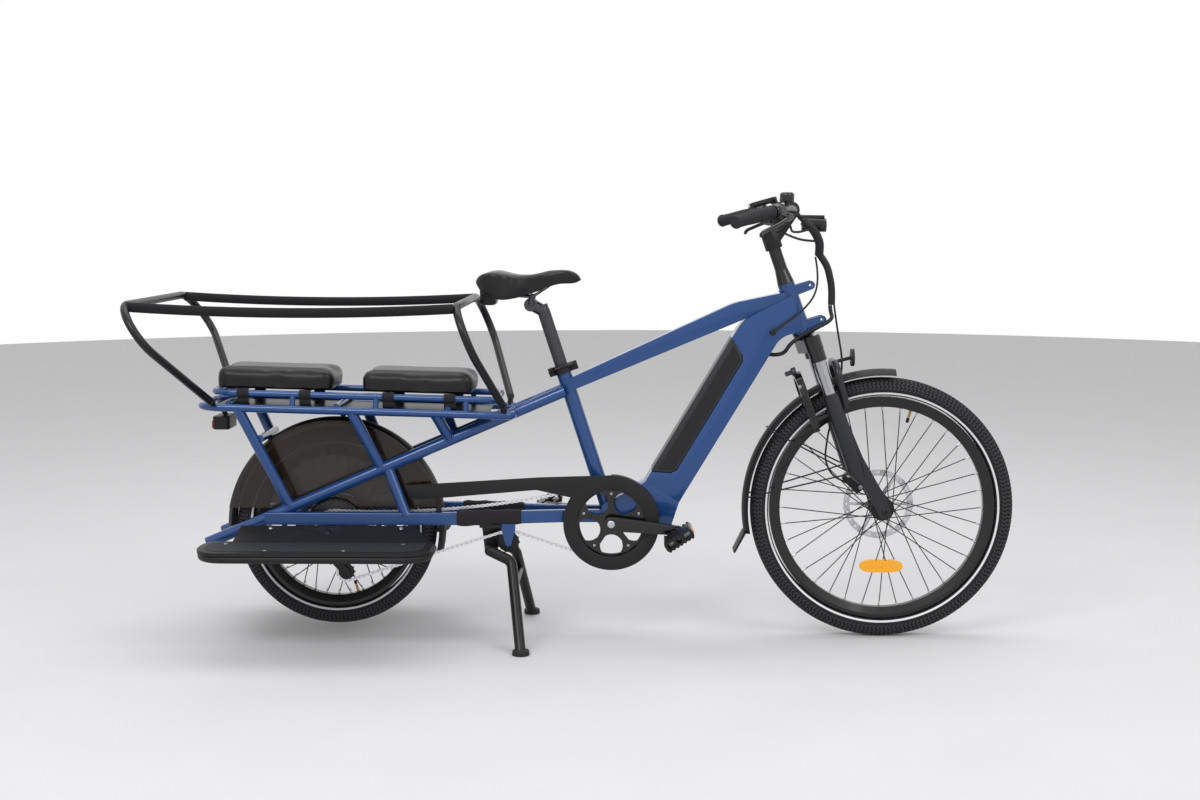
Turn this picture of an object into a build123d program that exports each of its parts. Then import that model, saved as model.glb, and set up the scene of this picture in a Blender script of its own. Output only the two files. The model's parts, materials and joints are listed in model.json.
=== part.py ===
from build123d import *
import os
from math import asin, atan2, cos, pi, radians, sin, sqrt, tan

os.makedirs("parts", exist_ok=True)

# Longtail cargo bicycle, millimetres. +X points forward, +Y to the rider's left, +Z up.
# The origin is on the floor under the middle of the whole bicycle.
# Every fore-and-aft place is measured forward of the rear axle and moved by fore().

# ---------------------------------------------------------------- driving dimensions
rear_axle_x = -638.0          # rear axle, from the middle of the bicycle
rear_axle_height = 285.0      # lifted by the centre stand
wheelbase = 1397.0

front_tyre_radius = 334.5
rear_tyre_radius = 258.0
tyre_width = 55.0
rim_depth = 27.0
rim_width = 34.0
spoke_diameter = 2.6
spoke_count = 36

head_angle = 71.0             # of the steering axis, from the floor
head_tube_length = 132.0
head_tube_top_diameter = 43.0
head_tube_bottom_diameter = 51.0
fork_length = 489.0           # head tube's foot to the front axle, along the steering axis
fork_offset = 49.0            # front axle ahead of the steering axis
steerer_diameter = 28.6
bearing_clearance = 0.05      # radial, in every running fit
gap = 0.3                     # between faces of bodies that move past each other

crank_forward = 708.0         # bottom bracket ahead of the rear axle
crank_height = 303.0
crank_length = 170.0
crank_angle = -5.5            # right crank, from straight ahead
shell_diameter = 46.0
shell_width = 84.0

seat_angle = 72.1
seat_tube_length = 395.0
seat_tube_diameter = 38.0
seat_post_diameter = 31.0
seat_post_length = 350.0
saddle_rail_height = 196.0    # seat tube's top to the saddle rails, along the post

top_tube_width = 40.0
down_tube_width = 78.0
side_tube_diameter = 30.0
side_tube_front_y = 32.0
side_tube_rear_y = 80.0
stay_height = 32.0
stay_width = 20.0
stay_level = 316.5
stay_rear_y = 80.0
stay_front_y = 34.0

rack_lower_level = 603.0
rack_upper_level = 640.0
rack_lower_y = 100.0
rack_upper_y = 90.0
rack_lower_diameter = 20.0
rack_upper_diameter = 17.0
rack_drop = 22.0              # the rack's front end lies this much lower than its rear end
rack_rear = -328.0
rack_front = 462.0
strut_diameter = 27.0

pad_length_rear = 300.0
pad_length_front = 285.0
pad_width = 175.0
pad_height = 54.0
deck_half_width = 86.0
deck_thickness = 4.0

hoop_diameter = 20.0
hoop_bend = 80.0
hoop_half_width = 430.0       # where a leg and the crossbar would meet without the bend
hoop_foot_y = 116.0
guard_rail_y = 255.0
guard_rail_diameter = 24.0
guard_rail_sag = 12.0

board_inner_y = 148.0
board_outer_y = 290.0
board_level = 270.0
board_thickness = 9.0
board_tube_diameter = 20.0

chain_y = -51.0
chain_width = 6.4
chain_height = 8.0
chainring_radius = 101.0
sprocket_radius = 46.0
jockey_radius = 20.0
sprocket_pitch = 4.4
idler_radius = 26.0

stand_foot_y = 211.0
stand_top_y = 72.0
stand_leg_diameter = 27.0
stand_axle_diameter = 16.0

bar_half_width = 312.0
bar_diameter = 22.2
bar_clamp_diameter = 31.8

chain_inset = chain_height / 2 + gap    # from the chain's middle line to what it runs on

# ---------------------------------------------------------------- places and planes


def fore(distance):
    """X of a place this far ahead of the rear axle."""
    return rear_axle_x + distance


def side_plane(y):
    """A drawing plane seen from the right: its x is X, its y is Z, at this Y."""
    return Plane.XZ.offset(-y)


front_axle = Vector(fore(wheelbase), 0, front_tyre_radius)
rear_axle = Vector(fore(0), 0, rear_axle_height)
crank_centre = Vector(fore(crank_forward), 0, crank_height)

steer_up = Vector(-cos(radians(head_angle)), 0, sin(radians(head_angle)))
steer_ahead = Vector(sin(radians(head_angle)), 0, cos(radians(head_angle)))
head_base = front_axle + steer_up * fork_length - steer_ahead * fork_offset
steering = Plane(origin=head_base, x_dir=steer_ahead, z_dir=steer_up)
head_top = head_base + steer_up * head_tube_length

seat_up = Vector(-cos(radians(seat_angle)), 0, sin(radians(seat_angle)))
seat_top = crank_centre + seat_up * seat_tube_length
seat_ahead = Vector(sin(radians(seat_angle)), 0, cos(radians(seat_angle)))
seat_axis = Plane(origin=seat_top, x_dir=seat_ahead, z_dir=seat_up)


def steer_point(ahead, y, up):
    """A place measured from the head tube's foot: ahead of and along the steering axis."""
    return steering.from_local_coords(Vector(ahead, y, up))


def rack_level(level, distance):
    """Height of a rack rail this far ahead of the rear axle."""
    return level - rack_drop * (distance - rack_rear) / (rack_front - rack_rear)


# ---------------------------------------------------------------- shapes used again


def rod(start, end, diameter, mode=Mode.ADD):
    """A round bar from one point to another, in the part being built."""
    axis = Vector(*end) - Vector(*start)
    with Locations(Plane(origin=start, z_dir=axis).location):
        Cylinder(diameter / 2, axis.length, align=(Align.CENTER, Align.CENTER, Align.MIN), mode=mode)


def bent_tube(points, diameter, bend):
    """A round tube along straight runs joined by arcs."""
    with BuildLine() as route:
        FilletPolyline(*points, radius=bend)
    with BuildSketch(Plane(origin=route.line @ 0, z_dir=route.line % 0)) as section:
        Circle(diameter / 2)
    sweep(section.sketch, path=route.line)


def hose(points, diameter):
    """A hose or cable along points, each corner as round as its two runs allow."""
    places = [Vector(*point) for point in points]
    radii = []
    for before, corner, after in zip(places, places[1:], places[2:]):
        shorter = min((corner - before).length, (after - corner).length)
        half_turn = radians((corner - before).get_angle(after - corner) / 2)
        radii.append(0.45 * shorter / tan(half_turn))
    bent_tube(places, diameter, radii)


def cross_bar(x, z, half_length, diameter, mode=Mode.ADD):
    """A round bar across the bicycle."""
    rod((x, -half_length, z), (x, half_length, z), diameter, mode)


def disc(centre, y, radius, thickness, mode=Mode.ADD):
    """A disc that faces sideways, its middle at this Y."""
    rod((centre.X, y - thickness / 2, centre.Z), (centre.X, y + thickness / 2, centre.Z), 2 * radius, mode)


def finish(name, piece):
    """Label a finished piece and write it."""
    piece.part.label = name
    export_step(piece.part, f"parts/{name}.step")


# ---------------------------------------------------------------- front triangle
top_tube_rear_height = 31.0
top_tube_front_height = 46.0
top_tube_rear = seat_top + seat_up * -33
head_upper = head_base + steer_up * (head_tube_length - 42)
head_lower = head_base + steer_up * 33
top_bend = Vector(head_base.X - 145, 0, head_base.Z + 62)

with BuildPart() as head_tube:
    with BuildSketch(steering):
        Circle(head_tube_bottom_diameter / 2)
    with BuildSketch(steering.offset(head_tube_length * 0.35)):
        Circle(head_tube_top_diameter / 2 + 1)
    loft()
    with BuildSketch(steering.offset(head_tube_length * 0.35)):
        Circle(head_tube_top_diameter / 2 + 1)
    with BuildSketch(steering.offset(head_tube_length)):
        Circle(head_tube_top_diameter / 2)
    loft()
    # two lugs in front, each a pair of ears with one hole across both
    lug_reach = 56.0
    lug_heights = (17.0, 109.0)
    lug_hole_diameter = 8.0
    lug_radius = 11.0
    lug_ear_thickness = 7.0
    lug_ear_y = 15.0
    for height in lug_heights:
        for side in (-1, 1):
            ear = Plane(origin=steer_point(0, side * lug_ear_y, height), x_dir=steer_ahead, z_dir=(0, -1, 0))
            with BuildSketch(ear):
                with Locations((lug_reach, 0)):
                    Circle(lug_radius)
                with Locations((8, 0)):
                    Circle(lug_radius + 2)
                make_hull()
            extrude(amount=lug_ear_thickness / 2, both=True)
    for height in lug_heights:
        hole = steer_point(lug_reach, 0, height)
        cross_bar(hole.X, hole.Z, 40, lug_hole_diameter, Mode.SUBTRACT)
    steerer_bore = steerer_diameter / 2 + bearing_clearance
    with BuildSketch(steering.offset(-1)):
        Circle(steerer_bore)
    extrude(amount=head_tube_length + 2, mode=Mode.SUBTRACT)
finish("head_tube", head_tube)

with BuildPart() as seat_tube:
    rod(crank_centre, seat_top, seat_tube_diameter)
    with BuildSketch(seat_axis):
        Circle(seat_post_diameter / 2 + bearing_clearance)
    extrude(amount=-(seat_post_length - saddle_rail_height + 115), mode=Mode.SUBTRACT)
    disc(crank_centre, 0, shell_diameter / 2, shell_width, Mode.SUBTRACT)
finish("seat_tube", seat_tube)

with BuildPart() as top_tube:
    slope = atan2(top_bend.Z - top_tube_rear.Z, top_bend.X - top_tube_rear.X)
    rear_half = Vector(-sin(slope), 0, cos(slope)) * (top_tube_rear_height / 2)
    front_half = Vector(-sin(slope), 0, cos(slope)) * (top_tube_front_height / 2)
    with BuildSketch(Plane.XZ):
        with BuildLine():
            upper = FilletPolyline(
                ((top_tube_rear + rear_half).X, (top_tube_rear + rear_half).Z),
                ((top_bend + front_half).X - 20, (top_bend + front_half).Z - 6),
                (head_upper.X, head_upper.Z + 22),
                radius=160,
            )
            Line(upper @ 1, (head_lower.X, head_lower.Z + 10))
            Line((head_lower.X, head_lower.Z + 10), ((top_bend - front_half).X, (top_bend - front_half).Z))
            Line(((top_bend - front_half).X, (top_bend - front_half).Z),
                 ((top_tube_rear - rear_half).X, (top_tube_rear - rear_half).Z))
            Line(((top_tube_rear - rear_half).X, (top_tube_rear - rear_half).Z), upper @ 0)
        make_face()
    extrude(amount=top_tube_width / 2, both=True)
    add(head_tube.part, mode=Mode.SUBTRACT)
    rod(head_base, head_top, steerer_diameter + 4, Mode.SUBTRACT)
    rod(crank_centre, seat_top, seat_tube_diameter, Mode.SUBTRACT)
finish("top_tube", top_tube)

down_tube_depth = 101.0
battery_depth = 54.0
battery_start = 30.0
battery_length = 398.0
battery_slant = 24.0
battery_clearance = 0.5
tube_foot = crank_centre + Vector(172, 0, 49)
tube_head = head_base + Vector(-86, 0, -50)
tube_along = (tube_head - tube_foot).normalized()
tube_frame = Plane(origin=tube_foot, x_dir=tube_along, z_dir=(0, -1, 0))
inner_foot = tube_frame.from_local_coords(Vector(0, down_tube_depth, 0))
inner_head = tube_frame.from_local_coords(Vector(battery_start + battery_length + 48, down_tube_depth, 0))


def battery_outline(inset):
    """The battery's side outline in the down tube's own plane."""
    start = battery_start + inset
    end = battery_start + battery_length - inset
    floor = down_tube_depth - battery_depth + inset
    Polyline(
        (start, down_tube_depth + 1.5),
        (start + battery_slant, floor + 9),
        (start + battery_slant + 14, floor),
        (end - battery_slant - 14, floor),
        (end - battery_slant, floor + 9),
        (end, down_tube_depth + 1.5),
        close=True,
    )


with BuildPart() as battery:
    with BuildSketch(tube_frame):
        with BuildLine():
            battery_outline(battery_clearance)
        make_face()
    extrude(amount=down_tube_width / 2 - 1, both=True)
    fillet(battery.edges().filter_by(Axis.Y).sort_by(Axis.Z)[1:-1], radius=4)
finish("battery", battery)

with BuildPart() as down_tube:
    throat = tube_head + tube_along * 12
    with BuildSketch(Plane.XZ):
        with BuildLine():
            back = FilletPolyline(
                (inner_foot.X, inner_foot.Z),
                (inner_head.X, inner_head.Z),
                (head_upper.X, head_upper.Z + 12),
                radius=105,
            )
            front = FilletPolyline(
                (head_base.X + (steer_up * 8).X, (head_base + steer_up * 8).Z),
                (throat.X + 22, throat.Z + 32),
                (tube_foot.X, tube_foot.Z),
                radius=60,
            )
            Line(back @ 1, front @ 0)
            Line(front @ 1, back @ 0)
        make_face()
    extrude(amount=down_tube_width / 2, both=True)
    with BuildSketch(tube_frame):
        with BuildLine():
            battery_outline(0)
        make_face()
    extrude(amount=down_tube_width, both=True, mode=Mode.SUBTRACT)
    add(head_tube.part, mode=Mode.SUBTRACT)
    rod(head_base, head_top, steerer_diameter + 4, Mode.SUBTRACT)
    add(top_tube.part, mode=Mode.SUBTRACT)
finish("down_tube", down_tube)

spindle_diameter = 20.0
spindle_bore = spindle_diameter + 2 * bearing_clearance
with BuildPart() as bracket_shell:
    with BuildSketch(Plane.XZ):
        with BuildLine():
            Polyline(
                (tube_foot.X, tube_foot.Z),
                (tube_foot.X - 19, tube_foot.Z - 58),
                (crank_centre.X, crank_centre.Z - 34),
                (crank_centre.X - 33, crank_centre.Z),
                (crank_centre.X - 22, crank_centre.Z + 42),
                (inner_foot.X, inner_foot.Z),
                close=True,
            )
        make_face()
    extrude(amount=stay_front_y + stay_width / 2 - 5, both=True)
    disc(crank_centre, 0, shell_diameter / 2, shell_width)
    cross_bar(crank_centre.X, crank_centre.Z, shell_width, spindle_bore, Mode.SUBTRACT)
    add(seat_tube.part, mode=Mode.SUBTRACT)
    add(down_tube.part, mode=Mode.SUBTRACT)
finish("bracket_shell", bracket_shell)

# ---------------------------------------------------------------- rear frame
side_front = Vector(fore(590), side_tube_front_y, 636)
side_rear = Vector(fore(-318), side_tube_rear_y, 252)


def on_side_tube(distance):
    """A place on the left side tube's centre line, this far ahead of the rear axle."""
    share = (fore(distance) - side_rear.X) / (side_front.X - side_rear.X)
    return side_rear + (side_front - side_rear) * share


def both_sides(start, end, diameter):
    """The same round bar on the left and on the right."""
    for side in (1, -1):
        rod((start.X, side * start.Y, start.Z), (end.X, side * end.Y, end.Z), diameter)


with BuildPart() as side_tubes:
    both_sides(side_front, side_rear, side_tube_diameter)
    add(seat_tube.part, mode=Mode.SUBTRACT)
finish("side_tubes", side_tubes)

stay_rear = fore(-168)
stay_bend = fore(300)
stay_front = fore(600)
axle_diameter = 12.0
dropout_y = 68.0
dropout_thickness = 7.0
with BuildPart() as lower_stays:
    for side in (1, -1):
        with BuildLine():
            FilletPolyline(
                (stay_rear, side * stay_rear_y, stay_level),
                (stay_bend, side * stay_rear_y, stay_level),
                (stay_front, side * stay_front_y, stay_level),
                (crank_centre.X - 25, side * stay_front_y, stay_level),
                radius=60,
            )
        stay_end = Plane(origin=(stay_rear, side * stay_rear_y, stay_level), x_dir=(0, 1, 0), z_dir=(1, 0, 0))
        with BuildSketch(stay_end):
            RectangleRounded(stay_width, stay_height, 4)
        sweep()
    # dropouts hang from the stays and carry the rear axle
    for side in (1, -1):
        with BuildSketch(side_plane(side * dropout_y)):
            with Locations((rear_axle.X, rear_axle.Z)):
                Circle(17)
            with Locations((rear_axle.X, stay_level - 6)):
                Rectangle(56, 12)
            make_hull()
            with Locations((rear_axle.X, rear_axle.Z)):
                Circle(axle_diameter / 2 + bearing_clearance, mode=Mode.SUBTRACT)
        extrude(amount=dropout_thickness / 2, both=True)
    add(side_tubes.part, mode=Mode.SUBTRACT)
    add(bracket_shell.part, mode=Mode.SUBTRACT)
finish("lower_stays", lower_stays)

with BuildPart() as rack_rails:
    for level, half, diameter, rear, front, bend in (
        (rack_lower_level, rack_lower_y, rack_lower_diameter, rack_rear, rack_front, 52),
        (rack_upper_level, rack_upper_y, rack_upper_diameter, rack_rear + 30, rack_front - 42, 60),
    ):
        rear_x, front_x = fore(rear), fore(front)
        rear_z, front_z = rack_level(level, rear), rack_level(level, front)
        bent_tube(
            (
                (rear_x, 0, rear_z),
                (rear_x, half, rear_z),
                (front_x, half, front_z),
                (front_x, -half, front_z),
                (rear_x, -half, rear_z),
                (rear_x, -0.01, rear_z),
            ),
            diameter, (bend, 20, 20, bend),
        )
    # short posts join the upper rails to the lower ones
    for distance in (-90, 120, 346):
        low = Vector(fore(distance), rack_lower_y, rack_level(rack_lower_level, distance))
        both_sides(low, Vector(low.X, rack_upper_y, rack_level(rack_upper_level, distance)), 14)
    add(side_tubes.part, mode=Mode.SUBTRACT)
finish("rack_rails", rack_rails)

bar_diameter_rack = 14.0
bar_lift = 11.0               # rack cross bars' middles above the lower rails' middles


def under_rail(distance):
    """Where a strut meets the left lower rack rail."""
    return Vector(fore(distance), rack_lower_y - 4, rack_level(rack_lower_level, distance) - 2)


with BuildPart() as rack_struts:
    for top, foot in (
        (under_rail(-228), on_side_tube(-106)),
        (under_rail(58), on_side_tube(126)),
        (on_side_tube(140), Vector(fore(190), stay_rear_y, stay_level + 6)),
        (under_rail(268), on_side_tube(300)),
    ):
        both_sides(top, foot, strut_diameter)
    # bars across the rack, and one between the rear struts that carries the mudguard
    for distance in (-250, 20, 300):
        cross_bar(fore(distance), rack_level(rack_lower_level, distance) + bar_lift, 97, bar_diameter_rack)
    strut_bar = Vector(fore(-176), 0, 520)
    cross_bar(strut_bar.X, strut_bar.Z, 88, 20)
    add(side_tubes.part, mode=Mode.SUBTRACT)
    add(lower_stays.part, mode=Mode.SUBTRACT)
    add(rack_rails.part, mode=Mode.SUBTRACT)
finish("rack_struts", rack_struts)

rack_slope = atan2(-rack_drop, rack_front - rack_rear)
rack_ahead = Vector(cos(rack_slope), 0, sin(rack_slope))
rack_up = Vector(-sin(rack_slope), 0, cos(rack_slope))


def rack_plane(distance, level):
    """A plane along the rack's slope, from this far ahead of the rear axle."""
    return Plane(origin=(fore(distance), 0, rack_level(level, distance)), x_dir=rack_ahead, z_dir=rack_up)


with BuildPart() as rack_deck:
    deck_top = bar_lift - bar_diameter_rack / 2
    with BuildSketch(rack_plane(-288, rack_lower_level + deck_top)):
        with Locations((344, 0)):
            RectangleRounded(688, 2 * deck_half_width, 12)
    extrude(amount=-deck_thickness)
    add(side_tubes.part, mode=Mode.SUBTRACT)
    add(rack_struts.part, mode=Mode.SUBTRACT)
finish("rack_deck", rack_deck)

# ---------------------------------------------------------------- seat
clamp_height = 22.0
with BuildPart() as seat_clamp:
    clamp_outer = seat_tube_diameter / 2 + 6
    with BuildSketch(seat_axis.offset(gap)):
        Circle(clamp_outer)
        with Locations((clamp_outer + 4, 0)):
            RectangleRounded(22, 18, 3)
        with Locations((-clamp_outer - 4, 0)):
            RectangleRounded(14, 16, 3)
        Circle(seat_post_diameter / 2 + bearing_clearance, mode=Mode.SUBTRACT)
    extrude(amount=clamp_height)
finish("seat_clamp", seat_clamp)

saddle_length = 272.0
saddle_half_width = 84.0
rail_point = seat_top + seat_up * saddle_rail_height
with BuildPart() as seat_post:
    post_foot = seat_top - seat_up * (seat_post_length - saddle_rail_height)
    rod(post_foot, rail_point - seat_up * 14, seat_post_diameter)
    # the head sets the saddle back; it holds the two saddle rails in its clamp
    saddle_clamp = rail_point + Vector(-17, 0, 8)
    head = saddle_clamp + Vector(-5, 0, -20)
    rod(rail_point - seat_up * 30, head, seat_post_diameter)
    cross_bar(head.X, head.Z, 20, 34)
    for side in (1, -1):
        rail_rear = saddle_clamp + Vector(-58, side * 22, 4)
        rail_front = saddle_clamp + Vector(42, side * 18, 28)
        bent_tube((rail_rear, saddle_clamp + Vector(0, side * 20, 0), rail_front), 7, 40)
        rod(head + Vector(0, side * 20, 0), saddle_clamp + Vector(0, side * 20, 6), 14)
finish("seat_post", seat_post)

saddle_rear = Vector(rail_point.X - 162, 0, rail_point.Z + 68)
with BuildPart() as saddle:
    nose = (saddle_rear.X + saddle_length, saddle_rear.Z - 14)
    with BuildSketch(Plane.XZ):
        with BuildLine():
            Spline(
                (saddle_rear.X, saddle_rear.Z - 20),
                (saddle_rear.X + 14, saddle_rear.Z - 2),
                (saddle_rear.X + 53, saddle_rear.Z + 3),
                (saddle_rear.X + 95, saddle_rear.Z - 6),
                (saddle_rear.X + 144, saddle_rear.Z - 7),
                (saddle_rear.X + 200, saddle_rear.Z + 6),
                (saddle_rear.X + 254, saddle_rear.Z + 4),
                nose,
            )
            Spline(
                nose,
                (saddle_rear.X + 262, saddle_rear.Z - 22),
                (saddle_rear.X + 218, saddle_rear.Z - 27),
                (saddle_rear.X + 167, saddle_rear.Z - 43),
                (saddle_rear.X + 128, saddle_rear.Z - 56),
                (saddle_rear.X + 80, saddle_rear.Z - 66),
                (saddle_rear.X + 40, saddle_rear.Z - 60),
                (saddle_rear.X, saddle_rear.Z - 20),
            )
        make_face()
    extrude(amount=saddle_half_width, both=True)
    with BuildSketch(Plane.XY.offset(saddle_rear.Z - 100)):
        with BuildLine():
            left = Spline(
                (saddle_rear.X, 0),
                (saddle_rear.X + 12, saddle_half_width * 0.72),
                (saddle_rear.X + 60, saddle_half_width * 0.97),
                (saddle_rear.X + 130, saddle_half_width * 0.5),
                (saddle_rear.X + 210, 26),
                (saddle_rear.X + saddle_length - 12, 19),
                (saddle_rear.X + saddle_length, 0),
            )
            mirror(left, about=Plane.XZ)
        make_face()
    extrude(amount=200, mode=Mode.INTERSECT)
    # bumper under the rear edge
    with BuildSketch(Plane.XY.offset(saddle_rear.Z - 82)):
        with Locations((saddle_rear.X + 30, 0)):
            RectangleRounded(42, 84, 18)
    extrude(amount=44)
    add(seat_post.part, mode=Mode.SUBTRACT)
finish("saddle", saddle)

# ---------------------------------------------------------------- passenger pads and guard rails
pad_lift = rack_upper_diameter / 2 + gap


def pad(rear, length):
    """A passenger pad that lies on the upper rack rails."""
    with BuildSketch(rack_plane(rear, rack_upper_level + pad_lift)) as outline:
        with Locations((length / 2, 0)):
            RectangleRounded(length, pad_width, 24)
    extrude(outline.sketch, amount=pad_height)


with BuildPart() as rear_pad:
    pad(-288, pad_length_rear)
    fillet(rear_pad.faces().sort_by(Axis.Z)[-1].edges(), radius=21)
finish("rear_pad", rear_pad)

with BuildPart() as front_pad:
    pad(79, pad_length_front)
    fillet(front_pad.faces().sort_by(Axis.Z)[-1].edges(), radius=21)
finish("front_pad", front_pad)

rear_hoop_foot = (fore(-288), 616.0)
rear_hoop_top = (fore(-455), 866.0)
front_hoop_foot = (fore(441), 606.0)
front_hoop_top = (fore(340), 861.0)
with BuildPart() as guard_hoops:
    for foot, top in ((rear_hoop_foot, rear_hoop_top), (front_hoop_foot, front_hoop_top)):
        bent_tube(
            (
                (foot[0], -hoop_foot_y, foot[1]),
                (top[0], -hoop_half_width, top[1]),
                (top[0], hoop_half_width, top[1]),
                (foot[0], hoop_foot_y, foot[1]),
            ),
            hoop_diameter, hoop_bend,
        )
        # bolted feet on the lower rack rails
        for side in (1, -1):
            distance = foot[0] - rear_axle.X
            rail_side = (foot[0], side * (rack_lower_y - 4), rack_level(rack_lower_level, distance))
            rod(rail_side, (foot[0], side * hoop_foot_y, foot[1] + 4), 15)
            with Locations((foot[0], side * hoop_foot_y, foot[1])):
                Sphere(hoop_diameter / 2)
    add(rack_rails.part, mode=Mode.SUBTRACT)
finish("guard_hoops", guard_hoops)

with BuildPart() as guard_side_rails:
    rail_end = hoop_diameter / 2 - 5
    rear_end = (rear_hoop_top[0] + rail_end, rear_hoop_top[1] - 4)
    front_end = (front_hoop_top[0] - rail_end, front_hoop_top[1] - 4)
    middle = ((rear_end[0] + front_end[0]) / 2, (rear_end[1] + front_end[1]) / 2 - guard_rail_sag)
    for side in (1, -1):
        y = side * guard_rail_y
        with BuildLine():
            sagging = ThreePointArc(*((x, y, z) for x, z in (rear_end, middle, front_end)))
        with BuildSketch(Plane(origin=sagging @ 0, z_dir=sagging % 0)):
            Circle(guard_rail_diameter / 2)
        sweep()
    add(guard_hoops.part, mode=Mode.SUBTRACT)
finish("guard_side_rails", guard_side_rails)

# ---------------------------------------------------------------- footboards
board_rear = -304.0
board_front = 270.0
panel_top_y = 96.0            # the board's inner panel rises to the lower stay
panel_top_level = 299.0
panel_thickness = 4.0
with BuildPart() as footboards:
    for side in (1, -1):
        corners = (
            (fore(board_rear + 10), side * board_inner_y),
            (fore(board_rear), side * (board_inner_y + 40)),
            (fore(board_rear), side * board_outer_y),
            (fore(board_front), side * board_outer_y),
            (fore(board_front), side * (board_inner_y + 40)),
            (fore(board_front - 8), side * board_inner_y),
        )
        with BuildSketch(Plane.XY.offset(board_level - board_thickness)):
            with BuildLine():
                FilletPolyline(*corners, close=True, radius=(10, 30, 66, 66, 30, 10))
            make_face()
        extrude(amount=board_thickness)
        # the panel that rises from the board to the stay
        panel_run = Vector(0, side * (panel_top_y - board_inner_y), panel_top_level - board_level + panel_thickness)
        panel_foot = (fore(0), side * board_inner_y, board_level - panel_thickness)
        panel_plane = Plane(origin=panel_foot, x_dir=(1, 0, 0), z_dir=Vector(1, 0, 0).cross(panel_run))
        with BuildSketch(panel_plane):
            with BuildLine():
                Polyline(
                    (board_rear + 66, 0), (-226, panel_run.length), (214, panel_run.length), (board_front - 10, 0),
                    close=True,
                )
            make_face()
            with Locations((-4, panel_run.length * 0.66)):
                Circle(10, mode=Mode.SUBTRACT)
        extrude(amount=panel_thickness / 2, both=True)
    tube_z = board_level - board_thickness - board_tube_diameter / 2 + 1.5
    tube_y = board_outer_y - board_tube_diameter / 2
    for side in (1, -1):
        bent_tube(
            (
                (fore(-190), side * (dropout_y + 26), tube_z),
                (fore(board_rear + 10), side * (dropout_y + 60), tube_z),
                (fore(board_rear + 10), side * tube_y, tube_z),
                (fore(board_front - 6), side * tube_y, tube_z),
                (fore(board_front - 6), side * (dropout_y + 60), tube_z),
                (fore(200), side * (dropout_y + 26), tube_z),
            ),
            board_tube_diameter, (30, 62, 62, 30),
        )
        # brackets that bolt the board to the lower stay
        for distance in (-120, 120):
            x = fore(distance)
            rod((x, side * stay_rear_y, tube_z), (x, side * tube_y, tube_z), 16)
            stay_foot = stay_level - stay_height / 2
            rod((x, side * stay_rear_y, tube_z - 8), (x, side * stay_rear_y, stay_foot), 14)
    add(side_tubes.part, mode=Mode.SUBTRACT)
    add(lower_stays.part, mode=Mode.SUBTRACT)
finish("footboards", footboards)

# ---------------------------------------------------------------- wheels
rotor_y = 46.0
rotor_thickness = 2.4
rotor_seat = rotor_y - rotor_thickness / 2
dropout_inner = 50.5        # front dropout's inner face


def wheel_profile(axle, points):
    """Spin a closed outline of (y, radius) points about a wheel's axle."""
    with BuildSketch(Plane(origin=axle, x_dir=(0, 1, 0), z_dir=(-1, 0, 0))) as outline:
        with BuildLine():
            Polyline(*points, close=True)
        make_face()
    revolve(outline.sketch, axis=Axis(axle, (0, 1, 0)))


def make_tyre(axle, radius):
    """A tyre: a round section that ends in its bead seat."""
    middle = radius - tyre_width / 2
    with BuildSketch(Plane(origin=axle, x_dir=(0, 1, 0), z_dir=(-1, 0, 0))) as section:
        with Locations((0, middle)):
            Circle(tyre_width / 2)
        with Locations((0, middle - tyre_width / 2)):
            Rectangle(tyre_width, 2 * bead_depth, mode=Mode.SUBTRACT)
    revolve(section.sketch, axis=Axis(axle, (0, 1, 0)))


def make_rim(axle, radius):
    """A deep rim from the tyre's bead seat inwards."""
    outer = radius - tyre_width + bead_depth
    inner = outer - rim_depth
    wheel_profile(axle, (
        (-rim_width / 2, outer), (rim_width / 2, outer), (rim_width / 2, outer - 9),
        (9, inner), (-9, inner), (-rim_width / 2, outer - 9),
    ))


def make_spokes(axle, rim_inner, flange, flange_y, crossing):
    """Spokes from both hub flanges to the rim, each leaning past its neighbours."""
    for index in range(spoke_count):
        rim_turn = 2 * pi * index / spoke_count
        lean = crossing if (index // 2) % 2 else -crossing
        side = 1 if index % 2 else -1
        hub_turn = rim_turn + radians(lean)
        hub_reach = flange - 3
        start = (axle.X + hub_reach * cos(hub_turn), side * flange_y, axle.Z + hub_reach * sin(hub_turn))
        end = (axle.X + (rim_inner - 1) * cos(rim_turn), side * 3, axle.Z + (rim_inner - 1) * sin(rim_turn))
        rod(start, end, spoke_diameter)


bead_depth = 6.5
front_rim_inner = front_tyre_radius - tyre_width + bead_depth - rim_depth
rear_rim_inner = rear_tyre_radius - tyre_width + bead_depth - rim_depth

with BuildPart() as front_tyre:
    make_tyre(front_axle, front_tyre_radius)
finish("front_tyre", front_tyre)

with BuildPart() as front_rim:
    make_rim(front_axle, front_tyre_radius)
finish("front_rim", front_rim)

with BuildPart() as rear_tyre:
    make_tyre(rear_axle, rear_tyre_radius)
finish("rear_tyre", rear_tyre)

with BuildPart() as rear_rim:
    make_rim(rear_axle, rear_tyre_radius)
finish("rear_rim", rear_rim)

hub_bore = axle_diameter / 2 + bearing_clearance
hub_half = dropout_inner - gap
with BuildPart() as front_hub:
    wheel_profile(front_axle, (
        (-hub_half, hub_bore), (-hub_half, 12), (-32, 15), (-30, 30), (-26, 30), (-24, 17),
        (24, 17), (26, 30), (30, 30), (32, 22), (rotor_seat, 22), (rotor_seat, 11), (hub_half, 11),
        (hub_half, hub_bore),
    ))
    make_spokes(front_axle, front_rim_inner, 30, 28, 62)
finish("front_hub", front_hub)

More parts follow.
